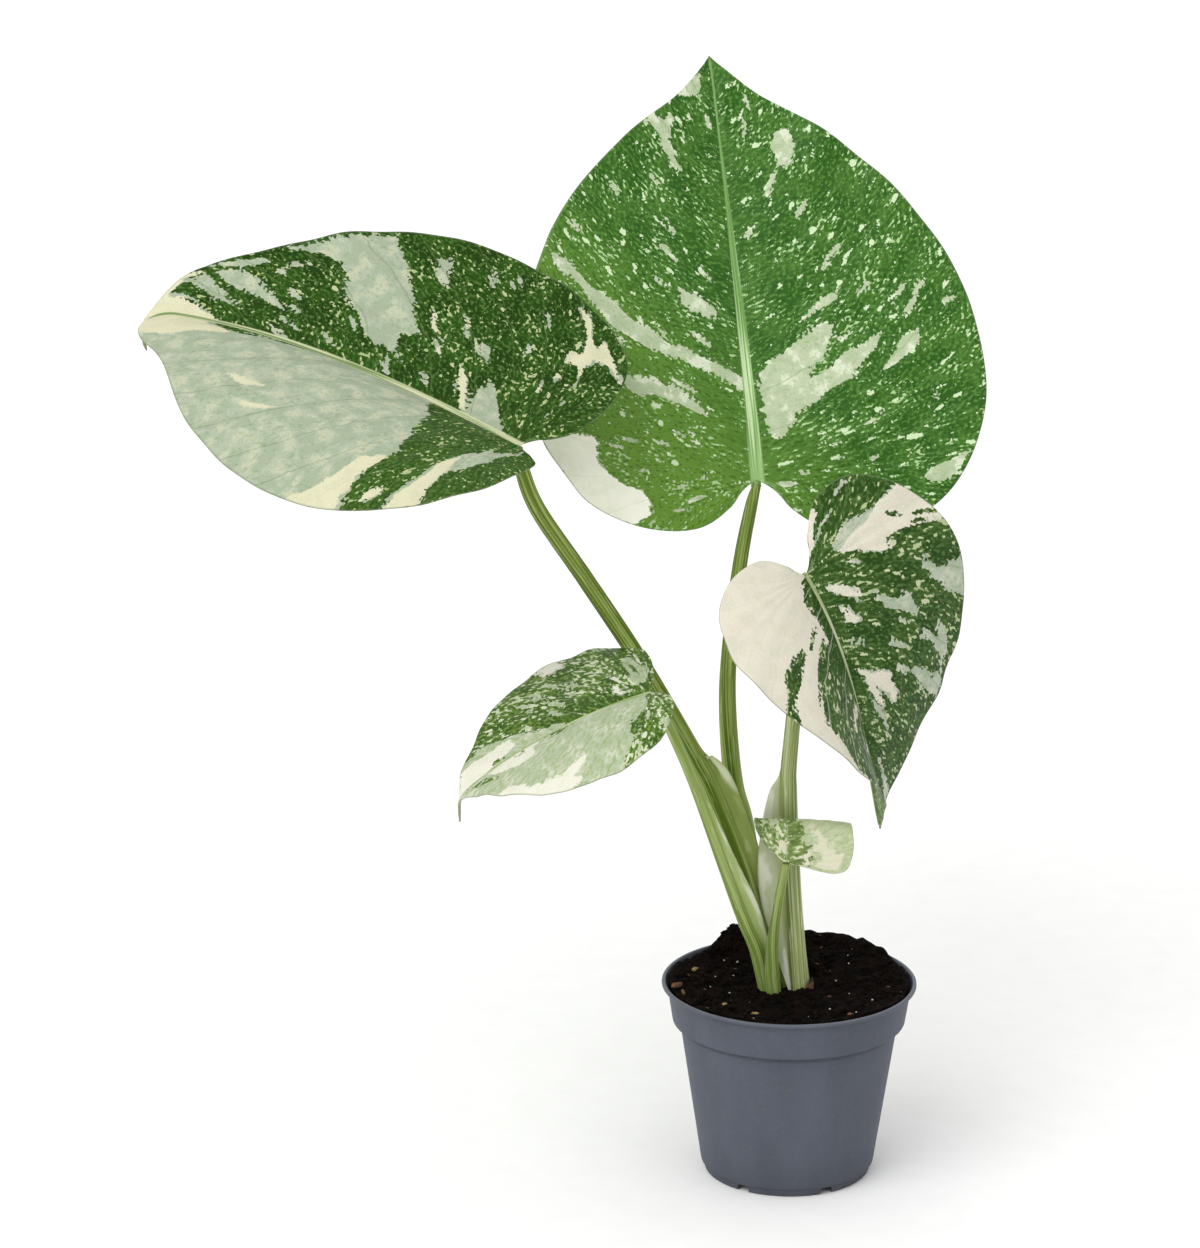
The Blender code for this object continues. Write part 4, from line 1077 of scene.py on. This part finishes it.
def paint_sectors(mesh, name, lengths, width):
    """Stores the sector fields at each face corner, as the leaf finish reads them."""
    count = len(mesh.loops)
    veins = np.empty(count * 2, np.float32)
    mesh.uv_layers["vein_map"].data.foreach_get("uv", veins)
    u, v = veins.reshape(-1, 2).T
    fields = np.zeros((count, 4), np.float32)
    for half in range(2):
        here = (u >= HALF_OFFSET / 2) == bool(half)
        around, outward = (u[here] - HALF_OFFSET * half) / lengths[half], v[here] / width
        pale, cream = sector_fields(name, half, around, outward, lengths[half], width)
        fields[here, 0], fields[here, 1] = pale, cream
    layer = mesh.color_attributes.new("sectors", "FLOAT_COLOR", "CORNER")
    layer.data.foreach_set("color", fields.ravel())


def add_rib(builder, blade, paint_place):
    """The rib that carries the blade from below: a flattened round, thickest at the petiole, closed at
    both ends and sunk in the sheet."""
    length = blade["length"]
    along = np.linspace(-0.012 * length, 0.985 * length, RIB_RINGS)
    points, _, across, upper = blade_frame(blade, along)
    radius = 0.0098 * length * (1 - np.clip(along / length, 0, 1)) ** 0.8 + 0.0022 * length
    made = bmesh.ops.create_grid(builder, x_segments=RIB_RINGS - 1, y_segments=RIB_SIDES, size=1)["verts"]
    stalk_layer = builder.loops.layers.uv["stalk_map"]
    spots = {}
    for vert in made:
        ring = round((vert.co.x + 1) / 2 * (RIB_RINGS - 1))
        turn = round((vert.co.y + 1) / 2 * RIB_SIDES)
        angle = 2 * math.pi * turn / RIB_SIDES
        spots[vert] = (turn / RIB_SIDES * RIB_GIRTH, ring * length / RIB_RINGS)
        size = radius[ring]
        place = points[ring] - upper[ring] * (0.75 * size + 0.5)
        place = place + across[ring] * size * math.cos(angle) + upper[ring] * 0.75 * size * math.sin(angle)
        vert.co = Vector(place) * MM
    faces = list(faces_round(made))
    for face in faces:
        face.material_index = paint_place
        for loop in face.loops:
            loop[stalk_layer].uv = spots[loop.vert]
    bmesh.ops.remove_doubles(builder, verts=made, dist=0.002 * MM)
    rims = [edge for face in faces if face.is_valid for edge in face.edges if edge.is_boundary]
    closed = bmesh.ops.holes_fill(builder, edges=list(set(rims)))["faces"]
    for face in closed:
        face.material_index = paint_place
    faces = [face for face in faces if face.is_valid] + closed
    bmesh.ops.recalc_face_normals(builder, faces=faces)


def make_blade(name, surface, outlines, length, rows, columns, blade=None):
    """A blade: both halves share the midrib, then the sheet gets its thickness and its rib."""
    builder = bmesh.new()
    for layer in ("vein_map", "flat_map", "vein_course", "stalk_map"):
        builder.loops.layers.uv.new(layer)
    lengths = [
        add_half(builder, name, half, outline, length, rows, columns, surface)
        for half, outline in enumerate(outlines)
    ]
    bmesh.ops.remove_doubles(builder, verts=builder.verts, dist=0.02 * MM)
    plain = name.replace("leaf_blade_", "")
    mean_length = sum(lengths) / 2
    bright, rib = LOOKS[name]["colours"][1], LOOKS[name]["colours"][6]
    paints = [
        leaf_finish(f"leaf upper side {plain}", LOOKS[name], length, mean_length),
        leaf_finish(f"leaf underside {plain}", LOOKS[name], length, mean_length, under=True),
        stalk_finish(f"leaf rib {plain}", toward(bright, rib, 0.5), rib, toward(rib, "#e4e8cc", 0.4), rib),
    ]
    piece = add_piece(f"{plain}_leaf", builder, paints, [name])
    paint_sectors(piece.data, name, lengths, HALF_WIDTH * length)
    thicken(piece, BLADE_THICKNESS, inner_finish=1)
    if blade:
        builder = bmesh.new()
        builder.from_mesh(piece.data)
        add_rib(builder, blade, 2)
        builder.to_mesh(piece.data)
        builder.free()
    piece.data.shade_smooth()


def make_leaves():
    for name, blade in BLADES.items():
        outlines = [half_outline(blade, half) for half in range(2)]
        grid = BLADE_GRID if blade["length"] > LARGE_BLADE else SMALL_BLADE_GRID
        make_blade(name, partial(blade_surface, blade), outlines, blade["length"], *grid, blade)
    left = np.array(YOUNG_LEFT) * (-1, 1)
    make_blade("leaf_blade_young", young_surface, [YOUNG_RIGHT, left], YOUNG_LENGTH, *SMALL_BLADE_GRID)


# ---------------------------------------------------------------- stalks


def stalk_section(radius, wing, turn):
    """A point of the stalk's section at a turn from -180 to 180 degrees, as out and side in mm, and how
    far up the wing it lies."""
    angle = math.radians(turn)
    share = max(0.0, 1 - abs(turn) / WING_TURN)
    ribbed = radius * (1 + 0.018 * math.cos(13 * angle) + 0.012 * math.cos(29 * angle + 1))
    out = ribbed * math.cos(angle) + max(0, wing) * share
    return out, ribbed * math.sin(angle) * (1 - 0.55 * share), share


def make_stalk(name, petiole, colours):
    """A stalk with its wing, as one sheet wrapped round its line and closed at the seam and ends."""
    x, y, z, radius, wing = petiole["stations"][0]
    rings = through([(x, y, z - STALK_BURIED, radius, wing), *petiole["stations"]], STALK_RINGS)
    half, bare = STALK_SIDES // 2, 180 - WING_TURN
    turns = [-180 + bare * side / half for side in range(half)]
    turns += [-WING_TURN + WING_TURN * side / WING_SIDES for side in range(2 * WING_SIDES)]
    turns += [WING_TURN + bare * side / half for side in range(half + 1)]
    builder = bmesh.new()
    stalk_layer = builder.loops.layers.uv.new("stalk_map")
    wing_layer = builder.loops.layers.float_color.new("wing")
    grid = bmesh.ops.create_grid(builder, x_segments=STALK_RINGS - 1, y_segments=len(turns) - 1, size=1)
    axes = []
    travelled = 0.0
    for place, (*centre, radius, wing) in enumerate(rings):
        before, after = rings[max(0, place - 1)], rings[min(len(rings) - 1, place + 1)]
        tangent = Vector((after - before)[:3]).normalized()
        travelled += (Vector(rings[place][:3]) - Vector(rings[max(0, place - 1)][:3])).length
        out = Vector(petiole["wing"])
        out = (out - out.dot(tangent) * tangent).normalized()
        axes.append((Vector(centre), out, tangent.cross(out), radius, wing, travelled))
    marks = {}
    for vert in grid["verts"]:
        ring = round((vert.co.x + 1) / 2 * (STALK_RINGS - 1))
        turn = turns[round((vert.co.y + 1) / 2 * (len(turns) - 1))]
        centre, out, side, radius, wing, travelled = axes[ring]
        away, aside, share = stalk_section(radius, wing, turn)
        vert.co = (centre + out * away + side * aside) * MM
        dried = 0.15 + 0.85 * ramp(centre.z, *petiole["dry"]) if "dry" in petiole else 1
        marks[vert] = (math.radians(turn) * radius, travelled, share * min(1, max(0, wing) / 2) * dried)
    for face in builder.faces:
        for loop in face.loops:
            u, v, winged = marks[loop.vert]
            loop[stalk_layer].uv = (u, v)
            loop[wing_layer] = (winged, 0, 0, 1)
    bmesh.ops.remove_doubles(builder, verts=builder.verts, dist=0.01 * MM)
    bmesh.ops.holes_fill(builder, edges=[edge for edge in builder.edges if edge.is_boundary])
    bmesh.ops.recalc_face_normals(builder, faces=builder.faces)
    plain = name.replace("petiole_", "")
    add_piece(f"{plain}_stalk", builder, [stalk_finish(f"leaf stalk {plain}", *colours)], [name])


def make_stalks():
    for name, petiole in PETIOLES.items():
        make_stalk(name, petiole, STALK_COLOURS[name])


def make_dry_sheath():
    """A thin curled sheath, torn along its top."""
    builder = bmesh.new()
    layer = builder.loops.layers.uv.new("stalk_map")
    made = bmesh.ops.create_grid(builder, x_segments=48, y_segments=24, size=1)["verts"]
    start, end = DRY_SHEATH_TURN
    marks = {}
    for vert in made:
        around, height = (vert.co.x + 1) / 2, (vert.co.y + 1) / 2
        angle = math.radians(start + (end - start) * around)
        torn = 0.8 * noise.noise((around * 14, 5, 1)) + 0.5 * noise.noise((around * 33, 2, 1))
        top = DRY_SHEATH_TOP - 5 * abs(2 * around - 1) ** 2 + torn
        z = DRY_SHEATH_FOOT + (top - DRY_SHEATH_FOOT) * height
        curl = 0.9 * max(0, abs(2 * around - 1) - 0.7) / 0.3 + 0.35 * noise.noise((around * 7, height * 2, 4))
        radius = DRY_SHEATH_RADIUS + curl * height
        marks[vert] = (math.radians(end - start) * around * radius, z - DRY_SHEATH_FOOT)
        x, y = DRY_SHEATH_CENTRE
        vert.co = Vector((x + radius * math.cos(angle), y + radius * math.sin(angle), z)) * MM
    for face in builder.faces:
        for loop in face.loops:
            loop[layer].uv = marks[loop.vert]
    bmesh.ops.recalc_face_normals(builder, faces=builder.faces)
    piece = add_piece("dry_leaf_base", builder, [dry_sheath_finish()], ["dry_sheath"])
    thicken(piece, DRY_SHEATH_THICKNESS)
    piece.data.shade_smooth()


# ---------------------------------------------------------------- pot


def rounded(profile, radius):
    """The profile with each corner turned into a small arc."""
    points = [np.array(point, float) for point in profile]
    made = [points[0]]
    for before, corner, after in zip(points, points[1:], points[2:]):
        one, other = before - corner, after - corner
        reach = min(radius, 0.45 * np.linalg.norm(one), 0.45 * np.linalg.norm(other))
        start = corner + one / np.linalg.norm(one) * reach
        end = corner + other / np.linalg.norm(other) * reach
        for t in (0, 0.25, 0.5, 0.75, 1):
            made.append((1 - t) ** 2 * start + 2 * t * (1 - t) * corner + t**2 * end)
    return made + [points[-1]]


def spun(builder, profile, steps):
    """Turns a profile of (radius, z) in mm about Z; its ends lie on the axis and are closed."""
    verts = [builder.verts.new((radius * MM, 0, z * MM)) for radius, z in profile]
    edges = [builder.edges.new(pair) for pair in zip(verts, verts[1:])]
    bmesh.ops.spin(
        builder, geom=verts + edges, axis=(0, 0, 1), cent=(0, 0, 0), angle=2 * math.pi, steps=steps,
        use_merge=True,
    )
    bmesh.ops.remove_doubles(builder, verts=builder.verts, dist=0.003 * MM)
    bmesh.ops.recalc_face_normals(builder, faces=builder.faces)


def pot_profile():
    """From the centre of the underside out, up the wall, over the rim and down inside to the floor."""
    underside = [(0, 0), (PAD_RADIUS, 0), (PAD_RADIUS - 0.4, FOOT_HEIGHT)]
    foot = [(FOOT_RADIUS - FOOT_WIDTH, FOOT_HEIGHT), (FOOT_RADIUS - FOOT_WIDTH, 0), (FOOT_RADIUS, 0)]
    foot += [(FOOT_RADIUS + 0.5, FOOT_HEIGHT), (BODY_LOW_RADIUS - 0.8, FOOT_HEIGHT)]
    body = [(BODY_LOW_RADIUS, FOOT_HEIGHT + 1), (BODY_TOP_RADIUS - 0.4, BODY_TOP_Z - 3)]
    body += [(BODY_TOP_RADIUS - 1.2, BODY_TOP_Z)]
    collar = [(COLLAR_LOW_RADIUS - 0.3, COLLAR_LOW_Z - 0.3), (COLLAR_LOW_RADIUS, COLLAR_LOW_Z)]
    collar += [(COLLAR_TOP_RADIUS, LIP_LOW_Z - 0.4)]
    lip = [(RIM_RADIUS - 0.5, LIP_LOW_Z), (RIM_RADIUS, LIP_LOW_Z + 0.4), (RIM_RADIUS - 0.1, POT_HEIGHT - 0.4)]
    lip += [(RIM_RADIUS - 0.7, POT_HEIGHT), (RIM_RADIUS - 1.8, POT_HEIGHT - 0.1)]
    inside = [(RIM_RADIUS - 2.5, POT_HEIGHT - 1.8), (COLLAR_TOP_RADIUS - WALL, LIP_LOW_Z - 3)]
    inside += [(COLLAR_LOW_RADIUS - WALL, COLLAR_LOW_Z + WALL), (BODY_TOP_RADIUS - WALL, BODY_TOP_Z + WALL)]
    inside += [(BODY_LOW_RADIUS - WALL, FLOOR_TOP), (0, FLOOR_TOP)]
    return underside + foot + body + collar + lip + inside


def pot_cutters():
    """The drain holes and the gaps in the foot ring, as separate closed shapes."""
    builder = bmesh.new()
    for hole in range(DRAIN_HOLES):
        angle = math.radians(360 * hole / DRAIN_HOLES)
        centre = Vector((DRAIN_CIRCLE * math.cos(angle), DRAIN_CIRCLE * math.sin(angle), 4)) * MM
        bmesh.ops.create_cone(
            builder, cap_ends=True, segments=40, radius1=DRAIN_RADIUS * MM, radius2=DRAIN_RADIUS * MM,
            depth=20 * MM, matrix=Matrix.Translation(centre),
        )
    gap_length = (FOOT_WIDTH + 6) * MM
    size = Matrix.Diagonal((gap_length, FOOT_GAP_WIDTH * MM, (FOOT_HEIGHT - 0.5) * 2 * MM, 1))
    out = Matrix.Translation(((FOOT_RADIUS - FOOT_WIDTH / 2) * MM, 0, 0))
    for gap in range(FOOT_GAPS):
        angle = math.radians(-90 + FOOT_GAP_TURN + 360 * gap / FOOT_GAPS)
        spot = Matrix.Rotation(angle, 4, "Z") @ out @ size
        made = bmesh.ops.create_cube(builder, size=1, matrix=spot)["verts"]
        # The two top edges that run out through the ring are rounded
        tops = {edge for vert in made for edge in vert.link_edges if min(v.co.z for v in edge.verts) > 0}
        long_tops = [edge for edge in tops if abs(edge.calc_length() - gap_length) < MM]
        bmesh.ops.bevel(
            builder, geom=long_tops, offset=1.2 * MM, offset_type="OFFSET", affect="EDGES", segments=4,
            profile=0.5, material=-1,
        )
    return builder


def make_pot():
    """The pot's wall and floor spun about its axis, then cut for the drain holes and foot gaps."""
    builder = bmesh.new()
    spun(builder, rounded(pot_profile(), 0.35), POT_STEPS)
    pot = add_piece("nursery_pot", builder, [pot_finish()], ["pot"])
    builder = pot_cutters()
    bmesh.ops.recalc_face_normals(builder, faces=builder.faces)
    cutter = shaped("cutter", builder)
    cut = pot.modifiers.new("drain holes and foot gaps", "BOOLEAN")
    cut.operation = "DIFFERENCE"
    cut.solver = "EXACT"
    cut.object = cutter
    settle(pot)
    bpy.data.objects.remove(cutter, do_unlink=True)
    pot.data.shade_smooth()
    pot.data.set_sharp_from_angle(angle=math.radians(40))


# ---------------------------------------------------------------- soil


def soil_top(x, y):
    """Height of the soil: level round the crown, heaped over the rim at the back."""
    radius = math.hypot(x, y)
    uneven = 0.5 + 0.5 * math.sin(x / 9 + 1) * math.cos(y / 11)
    turn = math.degrees(math.atan2(x, y))
    heap = ramp(turn, *HEAP_TURN[:2]) * (1 - ramp(turn, *HEAP_TURN[2:])) * ramp(radius, *HEAP_RADII)
    return SOIL_Z + SOIL_RISE * uneven * ramp(radius, SOIL_FLAT_RADIUS, 38) + HEAP_HEIGHT * heap


def soil_surface(x, y):
    """The soil's top with its clods and crumbs, mm."""
    z = soil_top(x, y)
    for clod_x, clod_y, spread, height in CLODS:
        z += height * math.exp(-((x - clod_x) ** 2 + (y - clod_y) ** 2) / (2 * spread**2))
    z += 1.5 * noise.noise((x / 8, y / 8, 3)) + 1.1 * noise.noise((x / 3.6, y / 3.6, 8))
    z += 0.7 * abs(noise.noise((x / 1.9, y / 1.9, 5)))
    z += SOIL_EDGE_RISE * ramp(math.hypot(x, y), 45, SOIL_EDGE_RADIUS)
    return float(z)


def make_soil(paint):
    """The fill, spun to fit loosely in the pot, then its top raised to the soil's own surface."""
    builder = bmesh.new()
    slack = WALL + 0.25
    outside = [(0, FLOOR_TOP + 0.3), (BODY_LOW_RADIUS - slack, FLOOR_TOP + 0.3)]
    outside += [(BODY_TOP_RADIUS - slack, BODY_TOP_Z + WALL)]
    outside += [(COLLAR_LOW_RADIUS - slack, COLLAR_LOW_Z + WALL + 0.6)]
    top = [(SOIL_EDGE_RADIUS * (1 - ring / SOIL_RINGS), SOIL_Z) for ring in range(SOIL_RINGS + 1)]
    spun(builder, outside + top, SOIL_STEPS)
    for vert in builder.verts:
        if vert.co.z > (SOIL_Z - 0.01) * MM:
            vert.co.z = soil_surface(vert.co.x / MM, vert.co.y / MM) * MM
    add_piece("potting_soil", builder, [paint], ["soil"])


def scatter(rng, low, high):
    """A place on the soil between two radii, mm."""
    radius = math.sqrt(rng.uniform(low**2, high**2))
    turn = rng.uniform(0, 2 * math.pi)
    x, y = radius * math.cos(turn), radius * math.sin(turn)
    return x, y, soil_surface(x, y)


def add_lump(builder, rng, place, size, stretch, paint_place):
    """A rough faceted bit: a small ball knocked out of shape, turned at random."""
    turn = Matrix.Rotation(rng.uniform(0, 6.28), 4, "Z") @ Matrix.Rotation(rng.uniform(-0.6, 0.6), 4, "X")
    made = bmesh.ops.create_icosphere(builder, subdivisions=1, radius=1)["verts"]
    for vert in made:
        vert.co *= rng.uniform(0.72, 1.2)
        vert.co = Vector((vert.co.x * stretch[0], vert.co.y * stretch[1], vert.co.z * stretch[2])) * size
        vert.co = (turn @ vert.co + Vector(place)) * MM
    for face in faces_round(made):
        face.material_index = paint_place


def make_crumbs(paint):
    """Crumbs of peat all over the soil, and more of them on each clod."""
    rng = random.Random(SEED)
    builder = bmesh.new()
    for _ in range(CRUMBS):
        x, y, z = scatter(rng, *CRUMB_RADII)
        size = min(CRUMB_LIMIT, CRUMB_LEAST + rng.expovariate(CRUMB_RARITY))
        add_lump(builder, rng, (x, y, z + 0.1 * size), size, (1.2, 0.9, 0.7), 0)
    for clod_x, clod_y, spread, height in CLODS:
        for _ in range(TALL_CLOD_CRUMBS if height > TALL_CLOD else CLOD_CRUMBS):
            x, y = clod_x + rng.gauss(0, spread * 0.8), clod_y + rng.gauss(0, spread * 0.8)
            if math.hypot(x, y) < CLOD_CRUMB_REACH:
                place = (x, y, soil_surface(x, y) + 0.2)
                add_lump(builder, rng, place, rng.uniform(0.6, 1.7), (1.1, 1, 0.8), 0)
    add_piece("peat_crumbs", builder, [paint])


def make_bits():
    """Perlite, bark and reed bits lying in the peat."""
    rng = random.Random(SEED + 1)
    builder = bmesh.new()
    for count, nearest, lift, sizes, stretch, kind in SCATTERED_BITS:
        for _ in range(count):
            x, y, z = scatter(rng, nearest, BIT_REACH)
            add_lump(builder, rng, (x, y, z + lift), rng.uniform(*sizes), stretch, kind)
    for x, y, size, lift, stretch, kind in PLACED_BITS:
        add_lump(builder, rng, (x, y, soil_surface(x, y) + lift), size, stretch, kind)
    paints = [
        grit_finish("expanded perlite", "#b9b39c", "#dcd8c6", 0.6, 0.9),
        grit_finish("composted bark", "#4a2f1f", "#7c5636", 1.2, 0.85),
        grit_finish("dry reed peat", "#7d6a3e", "#b09a63", 0.9, 0.85),
    ]
    add_piece("compost_bits", builder, paints)


# ---------------------------------------------------------------- stage


def make_floor():
    """A broad disc just under the pot."""
    builder = bmesh.new()
    bmesh.ops.create_circle(builder, cap_ends=True, segments=96, radius=14)
    bmesh.ops.translate(builder, verts=builder.verts, vec=(0, 0, -0.3 * MM))
    floor = shaped("floor", builder, [floor_finish()])


def add_softbox(name, place, target, size, power):
    light = bpy.data.lights.new(name, "AREA")
    light.shape = "RECTANGLE"
    light.size, light.size_y = size
    light.energy = power
    lamp = set_out(name, light)
    lamp.location = place
    lamp.rotation_euler = (Vector(target) - Vector(place)).to_track_quat("-Z", "Y").to_euler()


def make_light():
    world = bpy.data.worlds.new("studio")
    world.use_nodes = True
    backdrop = world.node_tree.nodes["Background"]
    backdrop.inputs["Color"].default_value = (1, 1, 1, 1)
    backdrop.inputs["Strength"].default_value = 0.82
    bpy.context.scene.world = world
    add_softbox("key softbox", (-1.3, -1.5, 1.9), (-0.08, 0.0, 0.25), (1.2, 0.9), 4)
    # The great diffuser overhead and to the left reaches the whole floor evenly
    diffuser = bpy.data.lights.new("diffuser", "SUN")
    diffuser.energy = 1.15
    diffuser.angle = math.radians(50)
    lamp = set_out("diffuser", diffuser)
    lamp.rotation_euler = Vector((1.3, 1.5, -1.9)).to_track_quat("-Z", "Y").to_euler()
    bpy.context.scene.view_settings.view_transform = "Standard"
    bpy.context.scene.view_settings.exposure = 0.1


def make_camera():
    camera = set_out("camera", bpy.data.cameras.new("camera"))
    camera.data.sensor_fit = "VERTICAL"
    camera.data.sensor_height = 36
    camera.data.lens = 130.5
    camera.data.clip_end = 40
    camera.location = (-0.089, -2.0, 0.845)
    camera.rotation_euler = (math.radians(90 - 16.1), 0, 0)  # it looks down 16.1 degrees
    bpy.context.scene.camera = camera


make_camera()
make_light()
make_floor()
make_pot()
peat = peat_finish("peat compost", "#0b0806", "#1b120e", "#544330")
make_soil(peat)
make_crumbs(peat)
make_bits()
make_stalks()
make_dry_sheath()
make_leaves()
